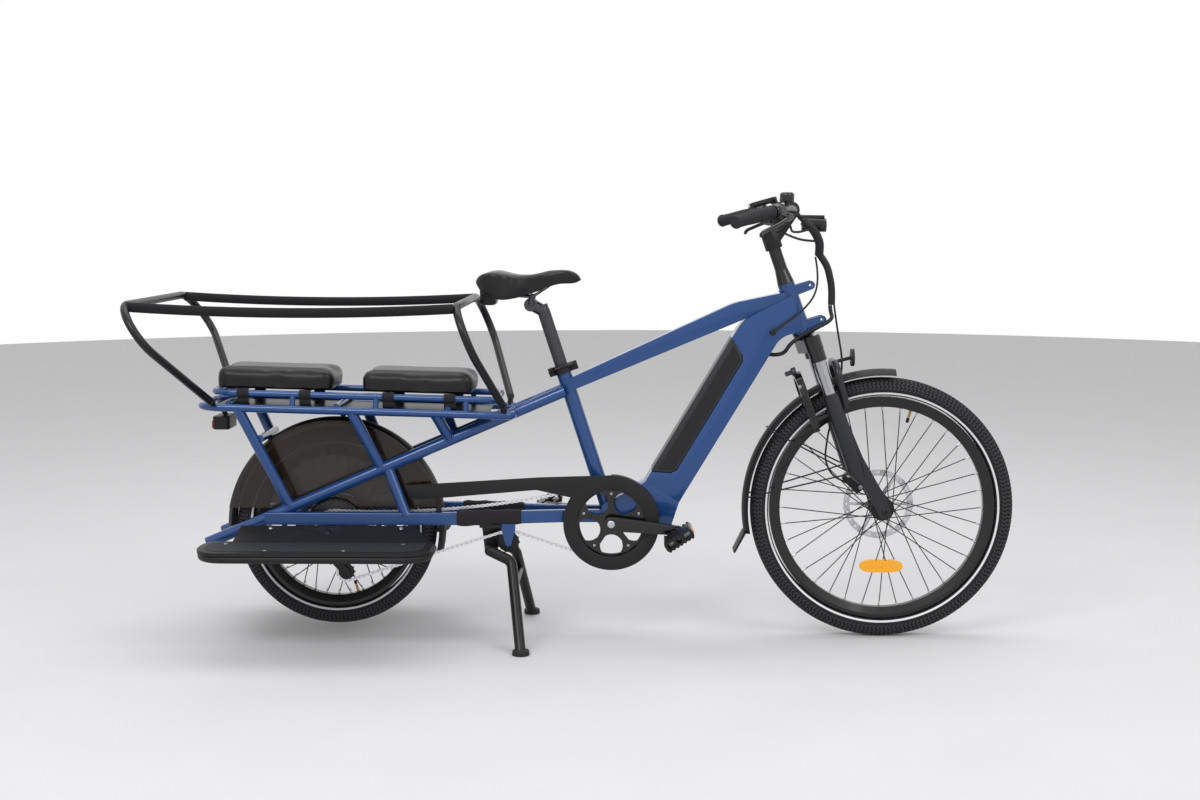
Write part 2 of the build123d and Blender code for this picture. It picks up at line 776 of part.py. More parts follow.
motor_radius = 72.0
flange_radius = motor_radius + 5
with BuildPart() as rear_hub:
    wheel_profile(rear_axle, (
        (-34, hub_bore), (-34, 40), (-29, motor_radius), (-22, flange_radius), (-18, flange_radius),
        (-16, motor_radius), (16, motor_radius), (18, flange_radius), (22, flange_radius), (29, motor_radius),
        (34, 40), (36, 24), (rotor_seat, 22), (rotor_seat, hub_bore),
    ))
    make_spokes(rear_axle, rear_rim_inner, flange_radius, 20, 24)
finish("rear_hub", rear_hub)


def make_rotor(axle, radius):
    """A brake disc with a ring of holes and open arms."""
    with BuildSketch(side_plane(rotor_y)) as ring:
        with Locations((axle.X, axle.Z)):
            Circle(radius)
            Circle(radius - 16, mode=Mode.SUBTRACT)
            Circle(24)
            with PolarLocations(0, 6):
                with Locations((radius / 2, 0)):
                    Rectangle(radius - 12, 8)
            Circle(12, mode=Mode.SUBTRACT)
            with PolarLocations(radius - 8, 24):
                Circle(2.4, mode=Mode.SUBTRACT)
    extrude(ring.sketch, amount=rotor_thickness / 2, both=True)


with BuildPart() as front_rotor:
    make_rotor(front_axle, 90)
finish("front_rotor", front_rotor)

with BuildPart() as rear_rotor:
    make_rotor(rear_axle, 90)
finish("rear_rotor", rear_rotor)

with BuildPart() as cassette:
    for step, radius in enumerate((68, 60, 52, sprocket_radius - chain_inset, 34, 29)):
        disc(rear_axle, chain_y + sprocket_pitch * (3 - step), radius, 1.8)
    rod((rear_axle.X, -34, rear_axle.Z), (rear_axle.X, -61, rear_axle.Z), 44)
    rod((rear_axle.X, -30, rear_axle.Z), (rear_axle.X, -70, rear_axle.Z), 2 * hub_bore, Mode.SUBTRACT)
finish("cassette", cassette)

# ---------------------------------------------------------------- chain and cranks
jockey_low = Vector(fore(30), chain_y, 173)
jockey_high = Vector(fore(-8), chain_y, 213)
idler_centre = Vector(fore(447), chain_y, 251)
slack_turn = radians(8.5)      # how far the slack upper run turns at each end

# what the chain goes round, in order: centre, radius of its middle line, and the side it passes on
chain_wheels = (
    (crank_centre, chainring_radius, 1),
    (rear_axle, sprocket_radius, 1),
    (jockey_high, jockey_radius + chain_inset, -1),
    (jockey_low, jockey_radius + chain_inset, 1),
    (idler_centre, idler_radius + chain_inset, -1),
)


def rim_point(wheel, heading, shift):
    """Where the chain, running this way, touches one of the wheels that it goes round."""
    centre, radius, side = wheel
    offset = radius * side + shift
    return (centre.X + offset * sin(heading), centre.Z - offset * cos(heading))


def straight_heading(wheel, following):
    """Direction of the straight run from one wheel to the next."""
    run = Vector(following[0].X - wheel[0].X, following[0].Z - wheel[0].Z)
    return atan2(run.Y, run.X) - asin((following[1] * following[2] - wheel[1] * wheel[2]) / run.length)


def chain_loop(shift):
    """The chain's closed outline, moved outwards from its middle line by this much."""
    count = len(chain_wheels)
    leave = [straight_heading(wheel, chain_wheels[(i + 1) % count]) for i, wheel in enumerate(chain_wheels)]
    arrive = [leave[i - 1] for i in range(count)]
    # the slack upper run hangs in an arc that leaves both wheels smoothly
    chord = leave[0]
    for _ in range(20):
        start = rim_point(chain_wheels[0], chord + slack_turn, 0)
        end = rim_point(chain_wheels[1], chord - slack_turn, 0)
        chord = atan2(end[1] - start[1], end[0] - start[0])
    leave[0] = chord + slack_turn
    arrive[1] = chord - slack_turn
    for i, wheel in enumerate(chain_wheels):
        turn = (leave[i] - arrive[i]) % (2 * pi)
        if wheel[2] < 0:
            turn -= 2 * pi
        headings = (arrive[i], arrive[i] + turn / 2, leave[i])
        ThreePointArc(*(rim_point(wheel, heading, shift) for heading in headings))
        start = rim_point(wheel, leave[i], shift)
        end = rim_point(chain_wheels[(i + 1) % count], arrive[(i + 1) % count], shift)
        if i == 0:
            dip = sqrt((end[0] - start[0]) ** 2 + (end[1] - start[1]) ** 2) / 2 * tan(slack_turn / 2)
            middle = ((start[0] + end[0]) / 2 - dip * sin(chord), (start[1] + end[1]) / 2 + dip * cos(chord))
            ThreePointArc(start, middle, end)
        else:
            Line(start, end)


with BuildPart() as chain:
    with BuildSketch(side_plane(chain_y)):
        with BuildLine():
            chain_loop(chain_height / 2)
        make_face()
        with BuildLine():
            chain_loop(-chain_height / 2)
        make_face(mode=Mode.SUBTRACT)
    extrude(amount=chain_width / 2, both=True)
finish("chain", chain)

ring_thickness = 4.0
ring_outer = chainring_radius - chain_inset
spider_reach = 84.0
with BuildPart() as chainring:
    with BuildSketch(side_plane(chain_y)):
        with Locations((crank_centre.X, crank_centre.Z)):
            Circle(ring_outer)
            Circle(ring_outer - 16, mode=Mode.SUBTRACT)
    extrude(amount=ring_thickness / 2, both=True)
    with BuildSketch(side_plane(chain_y - 1)):
        with Locations((crank_centre.X, crank_centre.Z)):
            Circle(27)
            with PolarLocations(0, 5, start_angle=20):
                with Locations((spider_reach / 2 + 6, 0)):
                    Rectangle(spider_reach - 12, 15)
            Circle(spindle_diameter / 2 + gap, mode=Mode.SUBTRACT)
    extrude(amount=3, both=True)
finish("chainring", chainring)

crank_thickness = 14.0
crank_y = 76.0
crank_turn = radians(crank_angle)
pedal_y = 160.0
pedal_axle_diameter = 14.0


def pedal_place(side):
    """The middle of a pedal: side is -1 on the right, 1 on the left."""
    reach = -side * crank_length
    return crank_centre + Vector(reach * cos(crank_turn), side * pedal_y, reach * sin(crank_turn))


with BuildPart() as crank_arms:
    cross_bar(crank_centre.X, crank_centre.Z, crank_y, spindle_diameter)
    for side in (-1, 1):
        pedal = pedal_place(side)
        with BuildSketch(side_plane(side * crank_y)):
            with Locations((crank_centre.X, crank_centre.Z)):
                Circle(18)
            with Locations((pedal.X, pedal.Z)):
                Circle(12.5)
            make_hull()
        extrude(amount=crank_thickness / 2, both=True)
        axle_end = side * (pedal_y + 30)
        rod((pedal.X, side * crank_y, pedal.Z), (pedal.X, axle_end, pedal.Z), pedal_axle_diameter)
finish("crank_arms", crank_arms)

pedal_length = 78.0
pedal_width = 88.0
pedal_height = 24.0
pedal_tilt = 33.0
pedal_along = (cos(radians(pedal_tilt)), 0, sin(radians(pedal_tilt)))
for side, name in ((-1, "pedal_right"), (1, "pedal_left")):
    pedal = pedal_place(side)
    with BuildPart() as pedal_cage:
        frame_plane = Plane(origin=pedal, x_dir=pedal_along, z_dir=(0, -1, 0))
        with BuildSketch(frame_plane):
            RectangleRounded(pedal_length, pedal_height, 7)
            with Locations((pedal_length / 4 + 3, 0), (-pedal_length / 4 - 3, 0)):
                RectangleRounded(pedal_length / 2 - 20, pedal_height - 10, 3, mode=Mode.SUBTRACT)
        extrude(amount=pedal_width / 2, both=True)
        with BuildSketch(frame_plane):
            Circle(pedal_axle_diameter / 2 + bearing_clearance)
        extrude(amount=pedal_width, both=True, mode=Mode.SUBTRACT)
    finish(name, pedal_cage)

case_y = -61.0
case_thickness = 3.0
case_outer = 122.0
case_inner = 87.0
arm_end_top = (fore(183), 398.0)
arm_end_foot = (fore(195), 364.0)
with BuildPart() as chain_case:
    with BuildSketch(side_plane(case_y)):
        with Locations((crank_centre.X, crank_centre.Z)):
            Circle(case_outer)
        with BuildLine():
            Polyline(
                arm_end_top,
                (crank_centre.X - 180, crank_centre.Z + 116.5),
                (crank_centre.X - 8, crank_centre.Z + case_outer - 0.3),
                (crank_centre.X - 80, crank_centre.Z + 60),
                (crank_centre.X - 190, crank_centre.Z + 84),
                (fore(276), 366), (fore(276), 322), (fore(264), 322), (fore(262), 366),
                arm_end_foot,
                close=True,
            )
        make_face()
        with Locations((crank_centre.X, crank_centre.Z)):
            Circle(case_inner, mode=Mode.SUBTRACT)
    extrude(amount=case_thickness / 2, both=True)
    # the lip that turns in over the chain
    with BuildSketch(side_plane(case_y)):
        with Locations((crank_centre.X, crank_centre.Z)):
            Circle(case_outer)
            Circle(case_outer - 3, mode=Mode.SUBTRACT)
        with Locations((crank_centre.X - case_outer, crank_centre.Z)):
            Rectangle(2 * case_outer, 2 * case_outer, mode=Mode.SUBTRACT)
    extrude(amount=-19)
    # bolts to the lower stay and to the bottom bracket shell
    rod((fore(270), case_y, 327), (fore(270), -stay_rear_y + stay_width / 2, 327), 7)
    bolt_x, bolt_z = crank_centre.X + 104, crank_centre.Z + 42
    rod((bolt_x, case_y, bolt_z), (bolt_x, -stay_front_y - 5, bolt_z), 8)
finish("chain_case", chain_case)

with BuildPart() as chain_idler:
    disc(idler_centre, chain_y, idler_radius, 8)
    with BuildSketch(side_plane(-stay_rear_y + 12)):
        with Locations((idler_centre.X, idler_centre.Z)):
            Circle(8)
        with Locations((idler_centre.X, stay_level - stay_height / 2 - 6)):
            Rectangle(36, 12)
        make_hull()
    extrude(amount=3, both=True)
    rod((idler_centre.X, chain_y, idler_centre.Z), (idler_centre.X, -stay_rear_y + 12, idler_centre.Z), 8)
    add(lower_stays.part, mode=Mode.SUBTRACT)
finish("chain_idler", chain_idler)

with BuildPart() as derailleur:
    for jockey in (jockey_low, jockey_high):
        disc(jockey, chain_y, jockey_radius, 4)
    for y in (chain_y - 7, chain_y + 7):
        with BuildSketch(side_plane(y)):
            with Locations((jockey_low.X, jockey_low.Z), (jockey_high.X, jockey_high.Z)):
                Circle(10.5)
            make_hull()
        extrude(amount=1.2, both=True)
    for jockey in (jockey_low, jockey_high):
        rod((jockey.X, chain_y - 10, jockey.Z), (jockey.X, chain_y + 8, jockey.Z), 8)
    # its body hangs from a hanger under the right dropout
    hanger = rear_axle + Vector(16, 0, -48)
    with BuildSketch(side_plane(chain_y - 12.5)):
        with Locations((jockey_high.X, jockey_high.Z)):
            Circle(11)
        with Locations((hanger.X, hanger.Z)):
            Circle(11)
        make_hull()
    extrude(amount=4, both=True)
    with BuildSketch(side_plane(-dropout_y)):
        with Locations((hanger.X, hanger.Z)):
            Circle(9)
        with Locations((rear_axle.X + 8, rear_axle.Z - 18)):
            Circle(8)
        make_hull()
    extrude(amount=3, both=True)
    add(lower_stays.part, mode=Mode.SUBTRACT)
finish("derailleur", derailleur)

with BuildPart() as rear_axle_bar:
    cross_bar(rear_axle.X, rear_axle.Z, dropout_y + 16, axle_diameter)
    for side in (-1, 1):
        nut_start = rear_axle + Vector(0, side * (dropout_y + dropout_thickness / 2), 0)
        rod(nut_start, nut_start + Vector(0, side * 9, 0), 22)
finish("rear_axle", rear_axle_bar)

# ---------------------------------------------------------------- mudguard, lamp
guard_thickness = 2.4
mudguard_half_width = 35.7
skirt_thickness = 1.6


def mudguard(axle, radius, half_width, start, end):
    """An arched mudguard strip about an axle, between two angles from straight ahead."""
    drop = 15
    with BuildSketch(Plane(origin=axle, x_dir=(0, 1, 0), z_dir=(1, 0, 0))) as section:
        with BuildLine():
            ThreePointArc((-half_width, radius - drop), (0, radius), (half_width, radius - drop))
            Line((half_width, radius - drop), (half_width - guard_thickness, radius - drop))
            ThreePointArc(
                (half_width - guard_thickness, radius - drop),
                (0, radius - guard_thickness),
                (-half_width + guard_thickness, radius - drop),
            )
            Line((-half_width + guard_thickness, radius - drop), (-half_width, radius - drop))
        make_face()
    strip = section.sketch.rotate(Axis(axle, (0, 1, 0)), 90 - start)
    revolve(strip, axis=Axis(axle, (0, -1, 0)), revolution_arc=end - start)


with BuildPart() as rear_mudguard:
    mudguard(rear_axle, 282, mudguard_half_width, -14, 184)
    deck_foot = rack_level(rack_lower_level, 20) + deck_top - deck_thickness
    rod((fore(20), 0, rear_axle.Z + 279), (fore(20), 0, deck_foot + 2), 14)
    rod(rear_axle + (strut_bar - rear_axle).normalized() * 279, strut_bar, 16)
    add(rack_struts.part, mode=Mode.SUBTRACT)
    add(rack_deck.part, mode=Mode.SUBTRACT)
finish("rear_mudguard", rear_mudguard)

skirt_y = mudguard_half_width + skirt_thickness / 2
with BuildPart() as mudguard_skirts:
    for side in (-1, 1):
        with BuildSketch(side_plane(side * skirt_y)):
            with Locations((rear_axle.X, rear_axle.Z)):
                Circle(276)
            with Locations((rear_axle.X, rear_axle.Z - 300)):
                Rectangle(700, 700, mode=Mode.SUBTRACT)
            with Locations((rear_axle.X, rear_axle.Z)):
                Circle(78, mode=Mode.SUBTRACT)
        extrude(amount=skirt_thickness / 2, both=True)
finish("mudguard_skirts", mudguard_skirts)

with BuildPart() as tail_light:
    lamp_z = 554.0
    with BuildSketch(Plane.XY.offset(lamp_z - 17)):
        with Locations((fore(-286), 0)):
            RectangleRounded(44, 84, 10)
    extrude(amount=34)
    fillet(tail_light.edges().filter_by(Plane.XY), radius=4)
    rod((fore(-282), 0, lamp_z + 16), (fore(-300), 0, rack_level(rack_lower_level, rack_rear)), 12)
    rod((fore(-300), 0, lamp_z + 30), (fore(-328), 0, rack_level(rack_lower_level, rack_rear)), 10)
    add(rack_rails.part, mode=Mode.SUBTRACT)
finish("tail_light", tail_light)

# ---------------------------------------------------------------- centre stand
stand_pivot = Vector(fore(400), 0, 232)
stand_knee = Vector(fore(455), 0, 205)
stand_foot = Vector(fore(487), 0, 0)
with BuildPart() as stand_bracket:
    plate_top = stay_level - stay_height / 2
    with BuildSketch(Plane.XY.offset(plate_top - 8)):
        with Locations((stand_pivot.X + 2, 0)):
            Rectangle(54, 2 * stay_rear_y)
    extrude(amount=8)
    for side in (-1, 1):
        with BuildSketch(side_plane(side * 30)):
            with Locations((stand_pivot.X, stand_pivot.Z)):
                Circle(17)
            with Locations((stand_pivot.X + 2, plate_top - 8)):
                Rectangle(50, 10)
            make_hull()
        extrude(amount=5, both=True)
    cross_bar(stand_pivot.X, stand_pivot.Z, 60, stand_axle_diameter + 2 * bearing_clearance, Mode.SUBTRACT)
    add(lower_stays.part, mode=Mode.SUBTRACT)
finish("stand_bracket", stand_bracket)

with BuildPart() as centre_stand:
    cross_bar(stand_pivot.X, stand_pivot.Z, stand_top_y, stand_axle_diameter)
    for side in (-1, 1):
        bent_tube(
            (
                (stand_pivot.X, side * stand_top_y, stand_pivot.Z),
                (stand_knee.X, side * stand_top_y, stand_knee.Z),
                (stand_foot.X, side * stand_foot_y, stand_foot.Z),
            ),
            stand_leg_diameter, 24,
        )
        with Locations((stand_pivot.X, side * stand_top_y, stand_pivot.Z)):
            Sphere(stand_leg_diameter / 2)
        with Locations((stand_foot.X, side * stand_foot_y, 0)):
            Cylinder(20, 12, align=(Align.CENTER, Align.CENTER, Align.MIN))
    brace_share = 0.28
    brace = stand_knee + (stand_foot - stand_knee) * brace_share
    cross_bar(brace.X, brace.Z, stand_top_y + (stand_foot_y - stand_top_y) * brace_share, 18)
    with BuildSketch(Plane.XY):
        with Locations((stand_foot.X, 0)):
            Rectangle(200, 600)
    extrude(amount=-60, mode=Mode.SUBTRACT)
finish("centre_stand", centre_stand)

# ---------------------------------------------------------------- fork
stanchion_y = 62.0
stanchion_ahead = 13.0
stanchion_diameter = 32.0
crown_top = -6.0
crown_foot = -46.0
leg_top = -168.0
crown_socket = -74.0
column_top = head_tube_length + 136


def stanchion_point(y, up):
    """A place on the axis of a fork leg."""
    return steer_point(stanchion_ahead, y, up)


with BuildPart() as fork_upper:
    rod(steer_point(0, 0, crown_foot + 4), steer_point(0, 0, column_top), steerer_diameter)
    with BuildSketch(steering.offset(-gap)):
        Circle(head_tube_bottom_diameter / 2)
    with BuildSketch(steering.offset(crown_top - 6)):
        Circle(head_tube_bottom_diameter / 2 - 3)
    loft()
    with BuildSketch(steering.offset(crown_foot)):
        with Locations((0, 0)):
            Circle(27)
        with Locations((stanchion_ahead, stanchion_y), (stanchion_ahead, -stanchion_y)):
            Circle(22)
        make_hull()
    extrude(amount=crown_top - 6 - crown_foot)
    for side in (-1, 1):
        y = side * stanchion_y
        rod(stanchion_point(y, crown_socket), stanchion_point(y, -8), 42)
    # tapered spacer and the column above the head tube
    with BuildSketch(steering.offset(head_tube_length + gap)):
        Circle(head_tube_top_diameter / 2)
    with BuildSketch(steering.offset(head_tube_length + 36)):
        Circle(16.5)
    loft()
    rod(steer_point(0, 0, head_tube_length + 30), steer_point(0, 0, column_top), 32)
finish("fork_upper", fork_upper)

with BuildPart() as stanchions:
    for side in (-1, 1):
        y = side * stanchion_y
        rod(stanchion_point(y, leg_top - 60), stanchion_point(y, crown_socket), stanchion_diameter)
finish("stanchions", stanchions)

dropout_outer = 70.0
dropout_middle = (dropout_inner + dropout_outer) / 2
bottle_foot = -372.0
with BuildPart() as fork_lower:
    for side in (-1, 1):
        y = side * stanchion_y
        leg = Plane(origin=steer_point(0, side * dropout_middle, 0), x_dir=steer_ahead, z_dir=(0, -1, 0))
        back = stanchion_ahead - 15
        with BuildSketch(leg):
            with BuildLine():
                FilletPolyline(
                    (back, leg_top - 60), (back + 34, leg_top - 60), (back + 42, -340),
                    (fork_offset + 15, -fork_length + 26), (fork_offset + 13, -fork_length - 16),
                    (fork_offset - 13, -fork_length - 16), (fork_offset - 24, -fork_length + 40),
                    (back + 4, -340),
                    close=True, radius=8,
                )
            make_face()
        extrude(amount=(dropout_outer - dropout_inner) / 2, both=True)
        rod(stanchion_point(y, bottle_foot), stanchion_point(y, leg_top), 42)
        rod(stanchion_point(y, leg_top - 4), stanchion_point(y, leg_top + 7), 38)
        with BuildSketch(steering.offset(bottle_foot)):
            with Locations((stanchion_ahead, y)):
                Circle(21)
        with BuildSketch(steering.offset(bottle_foot - 30)):
            with Locations((stanchion_ahead + 6, side * dropout_middle)):
                Circle((dropout_outer - dropout_inner) / 2)
        loft()
    for side in (-1, 1):
        y = side * stanchion_y
        rod(stanchion_point(y, leg_top - 62), stanchion_point(y, -60), stanchion_diameter, Mode.SUBTRACT)
    arch_ahead = stanchion_ahead + 38
    bent_tube(
        (
            steer_point(arch_ahead - 10, -stanchion_y, leg_top - 40),
            steer_point(arch_ahead, -stanchion_y, -96),
            steer_point(arch_ahead, stanchion_y, -96),
            steer_point(arch_ahead - 10, stanchion_y, leg_top - 40),
        ),
        18, 34,
    )
    cross_bar(front_axle.X, front_axle.Z, dropout_outer + 5, axle_diameter)
finish("fork_lower", fork_lower)

with BuildPart() as front_mudguard:
    mudguard(front_axle, 356, 31, 85, 191)
    rod(stanchion_point(0, -136), stanchion_point(0, crown_foot), 12)
    # mud flap at the rear end
    flap_top = front_axle + Vector(-349, 0, -62)
    with BuildSketch(Plane.XZ):
        with BuildLine():
            Polyline(
                (flap_top.X - 3, flap_top.Z), (flap_top.X - 28, flap_top.Z - 52),
                (flap_top.X - 24, flap_top.Z - 53), (flap_top.X + 3, flap_top.Z - 3),
                close=True,
            )
        make_face()
    extrude(amount=31, both=True)
    # wire stays from clamps on the fork legs
    for side in (-1, 1):
        stay_clamp = stanchion_point(side * stanchion_y, bottle_foot)
        eyelet = stay_clamp + Vector(-14, side * 14, 0)
        rod(stay_clamp, eyelet, 12)
        for guard_end in (Vector(-292, side * 29, 204), Vector(-353, side * 29, 26)):
            rod(eyelet, front_axle + guard_end, 4)
    add(fork_lower.part, mode=Mode.SUBTRACT)
finish("front_mudguard", front_mudguard)

with BuildPart() as reflectors:
    # a round reflector ahead of the fork's arch
    reflector = steer_point(96, 0, -99)
    with BuildSketch(Plane(origin=reflector, z_dir=(1, 0, 0))):
        Circle(22)
    extrude(amount=8)
    rod(steer_point(arch_ahead, 0, -96), reflector + Vector(3, 0, 0), 9)
    add(fork_lower.part, mode=Mode.SUBTRACT)
finish("front_reflector", reflectors)

# ---------------------------------------------------------------- handlebar
bar_clamp = Vector(fore(1157), 0, 1090)
with BuildPart() as stem:
    column_head = steer_point(0, 0, column_top - 22)
    rod(steer_point(0, 0, column_top - 44), steer_point(0, 0, column_top + 4), 44)
    with BuildSketch(Plane.XZ):
        with Locations((column_head.X, column_head.Z)):
            Circle(18)
        with Locations((bar_clamp.X, bar_clamp.Z)):
            Circle(bar_clamp_diameter / 2 + 6)
        make_hull()
    extrude(amount=18, both=True)
    cross_bar(bar_clamp.X, bar_clamp.Z, 24, bar_clamp_diameter + 12)
    cross_bar(bar_clamp.X, bar_clamp.Z, 40, bar_clamp_diameter, Mode.SUBTRACT)
    rod(steer_point(0, 0, column_top - 60), steer_point(0, 0, column_top), 32, Mode.SUBTRACT)
finish("stem", stem)

bar_points = (
    Vector(bar_clamp.X, 70, bar_clamp.Z),
    Vector(bar_clamp.X - 38, 190, bar_clamp.Z + 1),
    Vector(bar_clamp.X - 155, bar_half_width - 2, bar_clamp.Z - 28),
)
with BuildPart() as handlebar:
    right = [(p.X, -p.Y, p.Z) for p in reversed(bar_points)]
    left = [(p.X, p.Y, p.Z) for p in bar_points]
    bent_tube(right + left, bar_diameter, (50, 60, 60, 50))
    cross_bar(bar_clamp.X, bar_clamp.Z, 36, bar_clamp_diameter)
finish("handlebar", handlebar)

grip_length = 138.0
grip_diameter = 33.0
grip_along = (bar_points[2] - bar_points[1]).normalized()
with BuildPart() as grips:
    for side in (1, -1):
        end = bar_points[2] + grip_along * 3
        start = end - grip_along * grip_length
        rod((start.X, side * start.Y, start.Z), (end.X, side * end.Y, end.Z), grip_diameter)
    add(handlebar.part, mode=Mode.SUBTRACT)
finish("grips", grips)

with BuildPart() as brake_levers:
    for side in (1, -1):
        clamp = bar_points[2] + grip_along * 3 - grip_along * (grip_length + 14)
        along = Vector(grip_along.X, side * grip_along.Y, grip_along.Z)
        place = Vector(clamp.X, side * clamp.Y, clamp.Z)
        rod(place - along * 9, place + along * 9, bar_diameter + 10)
        body = place + Vector(28, 0, -16)
        rod(place, body, 18)
        tip = body + along * 108 + Vector(4, 0, -20)
        rod(body, tip, 10)
        with Locations(body, tip):
            Sphere(9)
    add(handlebar.part, mode=Mode.SUBTRACT)
    add(grips.part, mode=Mode.SUBTRACT)
finish("brake_levers", brake_levers)

with BuildPart() as bar_fittings:
    # display on the stem, bell on the right of it, both clamped round the bar
    display_centre = bar_clamp + Vector(-68, 0, 12)
    display_plane = Plane(origin=display_centre, x_dir=(1, 0, 0.28), z_dir=(-0.28, 0, 1))
    with BuildSketch(display_plane):
        RectangleRounded(70, 92, 8)
    extrude(amount=13)
    for side in (-1, 1):
        arm = bar_clamp + Vector(0, side * 28, 0)
        rod(arm, arm + Vector(-48, 0, 22), 11)
        rod(arm + Vector(0, side * 12, 0), arm - Vector(0, side * 3.5, 0), bar_clamp_diameter + 7)
    bell_place = bar_points[0] + Vector(-20, 60, 0)
    with Locations((bell_place.X, -bell_place.Y, bell_place.Z + 30)):
        Cylinder(18, 26)
    fillet(bar_fittings.faces().sort_by(Axis.Z)[-1].edges(), radius=8)
    rod((bell_place.X, -bell_place.Y, bell_place.Z + 20), (bell_place.X, -bell_place.Y, bell_place.Z), 12)
    add(handlebar.part, mode=Mode.SUBTRACT)
    add(stem.part, mode=Mode.SUBTRACT)
finish("bar_fittings", bar_fittings)

with BuildPart() as headlight:
    rod((bar_clamp.X + 30, 0, bar_clamp.Z - 35), (bar_clamp.X + 88, 0, bar_clamp.Z - 38), 34)
    rod((bar_clamp.X + 20, 0, bar_clamp.Z - 18), (bar_clamp.X + 86, 0, bar_clamp.Z - 19), 12)
    rod((bar_clamp.X + 36, 0, bar_clamp.Z - 30), (bar_clamp.X + 14, 0, bar_clamp.Z - 6), 12)
    add(stem.part, mode=Mode.SUBTRACT)
    add(handlebar.part, mode=Mode.SUBTRACT)
finish("headlight", headlight)

with BuildPart() as front_caliper:
    caliper = front_axle + Vector(-62, 0, 62)
    with BuildSketch(side_plane(rotor_y)):
        with Locations(Location((caliper.X, caliper.Z), 45)):
            RectangleRounded(42, 60, 8)
    extrude(amount=13, both=True)
    with BuildSketch(side_plane(rotor_y)):
        with Locations((front_axle.X, front_axle.Z)):
            Circle(90 + 2)
    extrude(amount=3, both=True, mode=Mode.SUBTRACT)
    rod((caliper.X + 6, rotor_y + 10, caliper.Z + 8), (caliper.X + 26, stanchion_y - 4, caliper.Z + 20), 14)
    add(fork_lower.part, mode=Mode.SUBTRACT)
finish("front_caliper", front_caliper)

lock_ahead = stanchion_ahead - 60
lock_middle = -172.0
with BuildPart() as wheel_lock:
    # an open ring round the tyre, carried behind the fork legs
    lock_plane = Plane(origin=steer_point(lock_ahead, 0, lock_middle), x_dir=(0, 1, 0), z_dir=steer_ahead)
    with BuildSketch(lock_plane):
        RectangleRounded(130, 170, 58)
        RectangleRounded(94, 138, 42, mode=Mode.SUBTRACT)
        with Locations((0, -85)):
            Rectangle(80, 70, mode=Mode.SUBTRACT)
    extrude(amount=9, both=True)
    for side in (-1, 1):
        arm = Vector(lock_ahead + 4, side * 57, lock_middle - 40)
        arm_end = Vector(stanchion_ahead - 19, side * 57, lock_middle - 40)
        rod(steering.from_local_coords(arm), steering.from_local_coords(arm_end), 12)
    add(fork_lower.part, mode=Mode.SUBTRACT)
finish("wheel_lock", wheel_lock)

with BuildPart() as rear_caliper:
    caliper_outer_y = 58.0
    caliper_depth = 20.0
    with BuildSketch(side_plane(caliper_outer_y)):
        with Locations(Location((rear_axle.X + 56, rear_axle.Z + 42), -53)):
            RectangleRounded(56, 36, 8)
    extrude(amount=caliper_depth)
    with BuildSketch(side_plane(rotor_y)):
        with Locations((rear_axle.X, rear_axle.Z)):
            Circle(90 + 2)
    extrude(amount=3, both=True, mode=Mode.SUBTRACT)
    seat_z = stay_level + 4
    rod((fore(66), caliper_outer_y - 2, seat_z), (fore(66), stay_rear_y - stay_width / 2 + 2, seat_z), 14)
    add(lower_stays.part, mode=Mode.SUBTRACT)
finish("rear_caliper", rear_caliper)

# ---------------------------------------------------------------- hoses and cables
with BuildPart() as steering_cables:
    # hose bundles in sleeves, from the bar down past the head tube
    hose(
        (
            (fore(1187), -30, 1063), (fore(1213), -29, 1042),
            (fore(1231), -16, 1010), (fore(1231), 0, 978),
        ),
        22,
    )
    hose(
        (
            (fore(1231), 0, 980), (fore(1252), 0, 950),
            (fore(1264), 0, 900), (fore(1264), 0, 852),
        ),
        18,
    )
    # the front brake's hose passes ahead of the crown and down inside the left leg
    hose(
        (
            (fore(1270), 2, 856), (fore(1279), 6, 798), (fore(1294), 14, 720),
            (fore(1297), 37, 676), (fore(1286), 37, 600), (fore(1264), 38, 520),
            (fore(1258), 50, 450), (fore(1276), 50, 408), (fore(1318), 50, 387),
        ),
        5,
    )
    # the levers' hoses and cables
    hose(
        (
            (fore(1140), -200, 1050), (fore(1150), -130, 1036),
            (fore(1178), -62, 1036), (fore(1208), -30, 1044),
        ),
        6,
    )
    hose(
        (
            (fore(1140), 200, 1050), (fore(1152), 120, 1030),
            (fore(1190), 40, 1014), (fore(1228), -14, 1012),
        ),
        6,
    )
    for other in (front_caliper, brake_levers, headlight, fork_lower, front_mudguard, reflectors):
        add(other.part, mode=Mode.SUBTRACT)
finish("steering_cables", steering_cables)

with BuildPart() as head_cables:
    # the bundle loops from its sleeve, over the crown and into the frame ahead of the battery
    hose(
        (
            (fore(1260), -3, 851.3), (fore(1260.5), -4, 836), steer_point(82, -26, 10),
            steer_point(30, -38, 3), steer_point(-36, -36, -8), (fore(1140), -20, 722), (fore(1096), -8, 728),
        ),
        10,
    )
    add(down_tube.part, mode=Mode.SUBTRACT)
    # one cable passes the head tube to a plug on the down tube's side
    plug_y = -down_tube_width / 2
    hose(
        (
            (fore(1221), -6, 972.6), (fore(1228), -15, 936), (fore(1222), -30, 880),
            (fore(1186), plug_y - 3, 838), (fore(1140), plug_y - 6, 806), (fore(1113), plug_y - 6, 785),
        ),
        5,
    )
    rod((fore(1113), plug_y, 785), (fore(1113), plug_y - 12, 785), 12)
finish("head_cables", head_cables)
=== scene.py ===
import json
from math import atan2, cos, degrees, pi, radians, sin, sqrt

import bmesh
import bpy
import numpy as np
from mathutils import Matrix, Vector
from mathutils.bvhtree import BVHTree


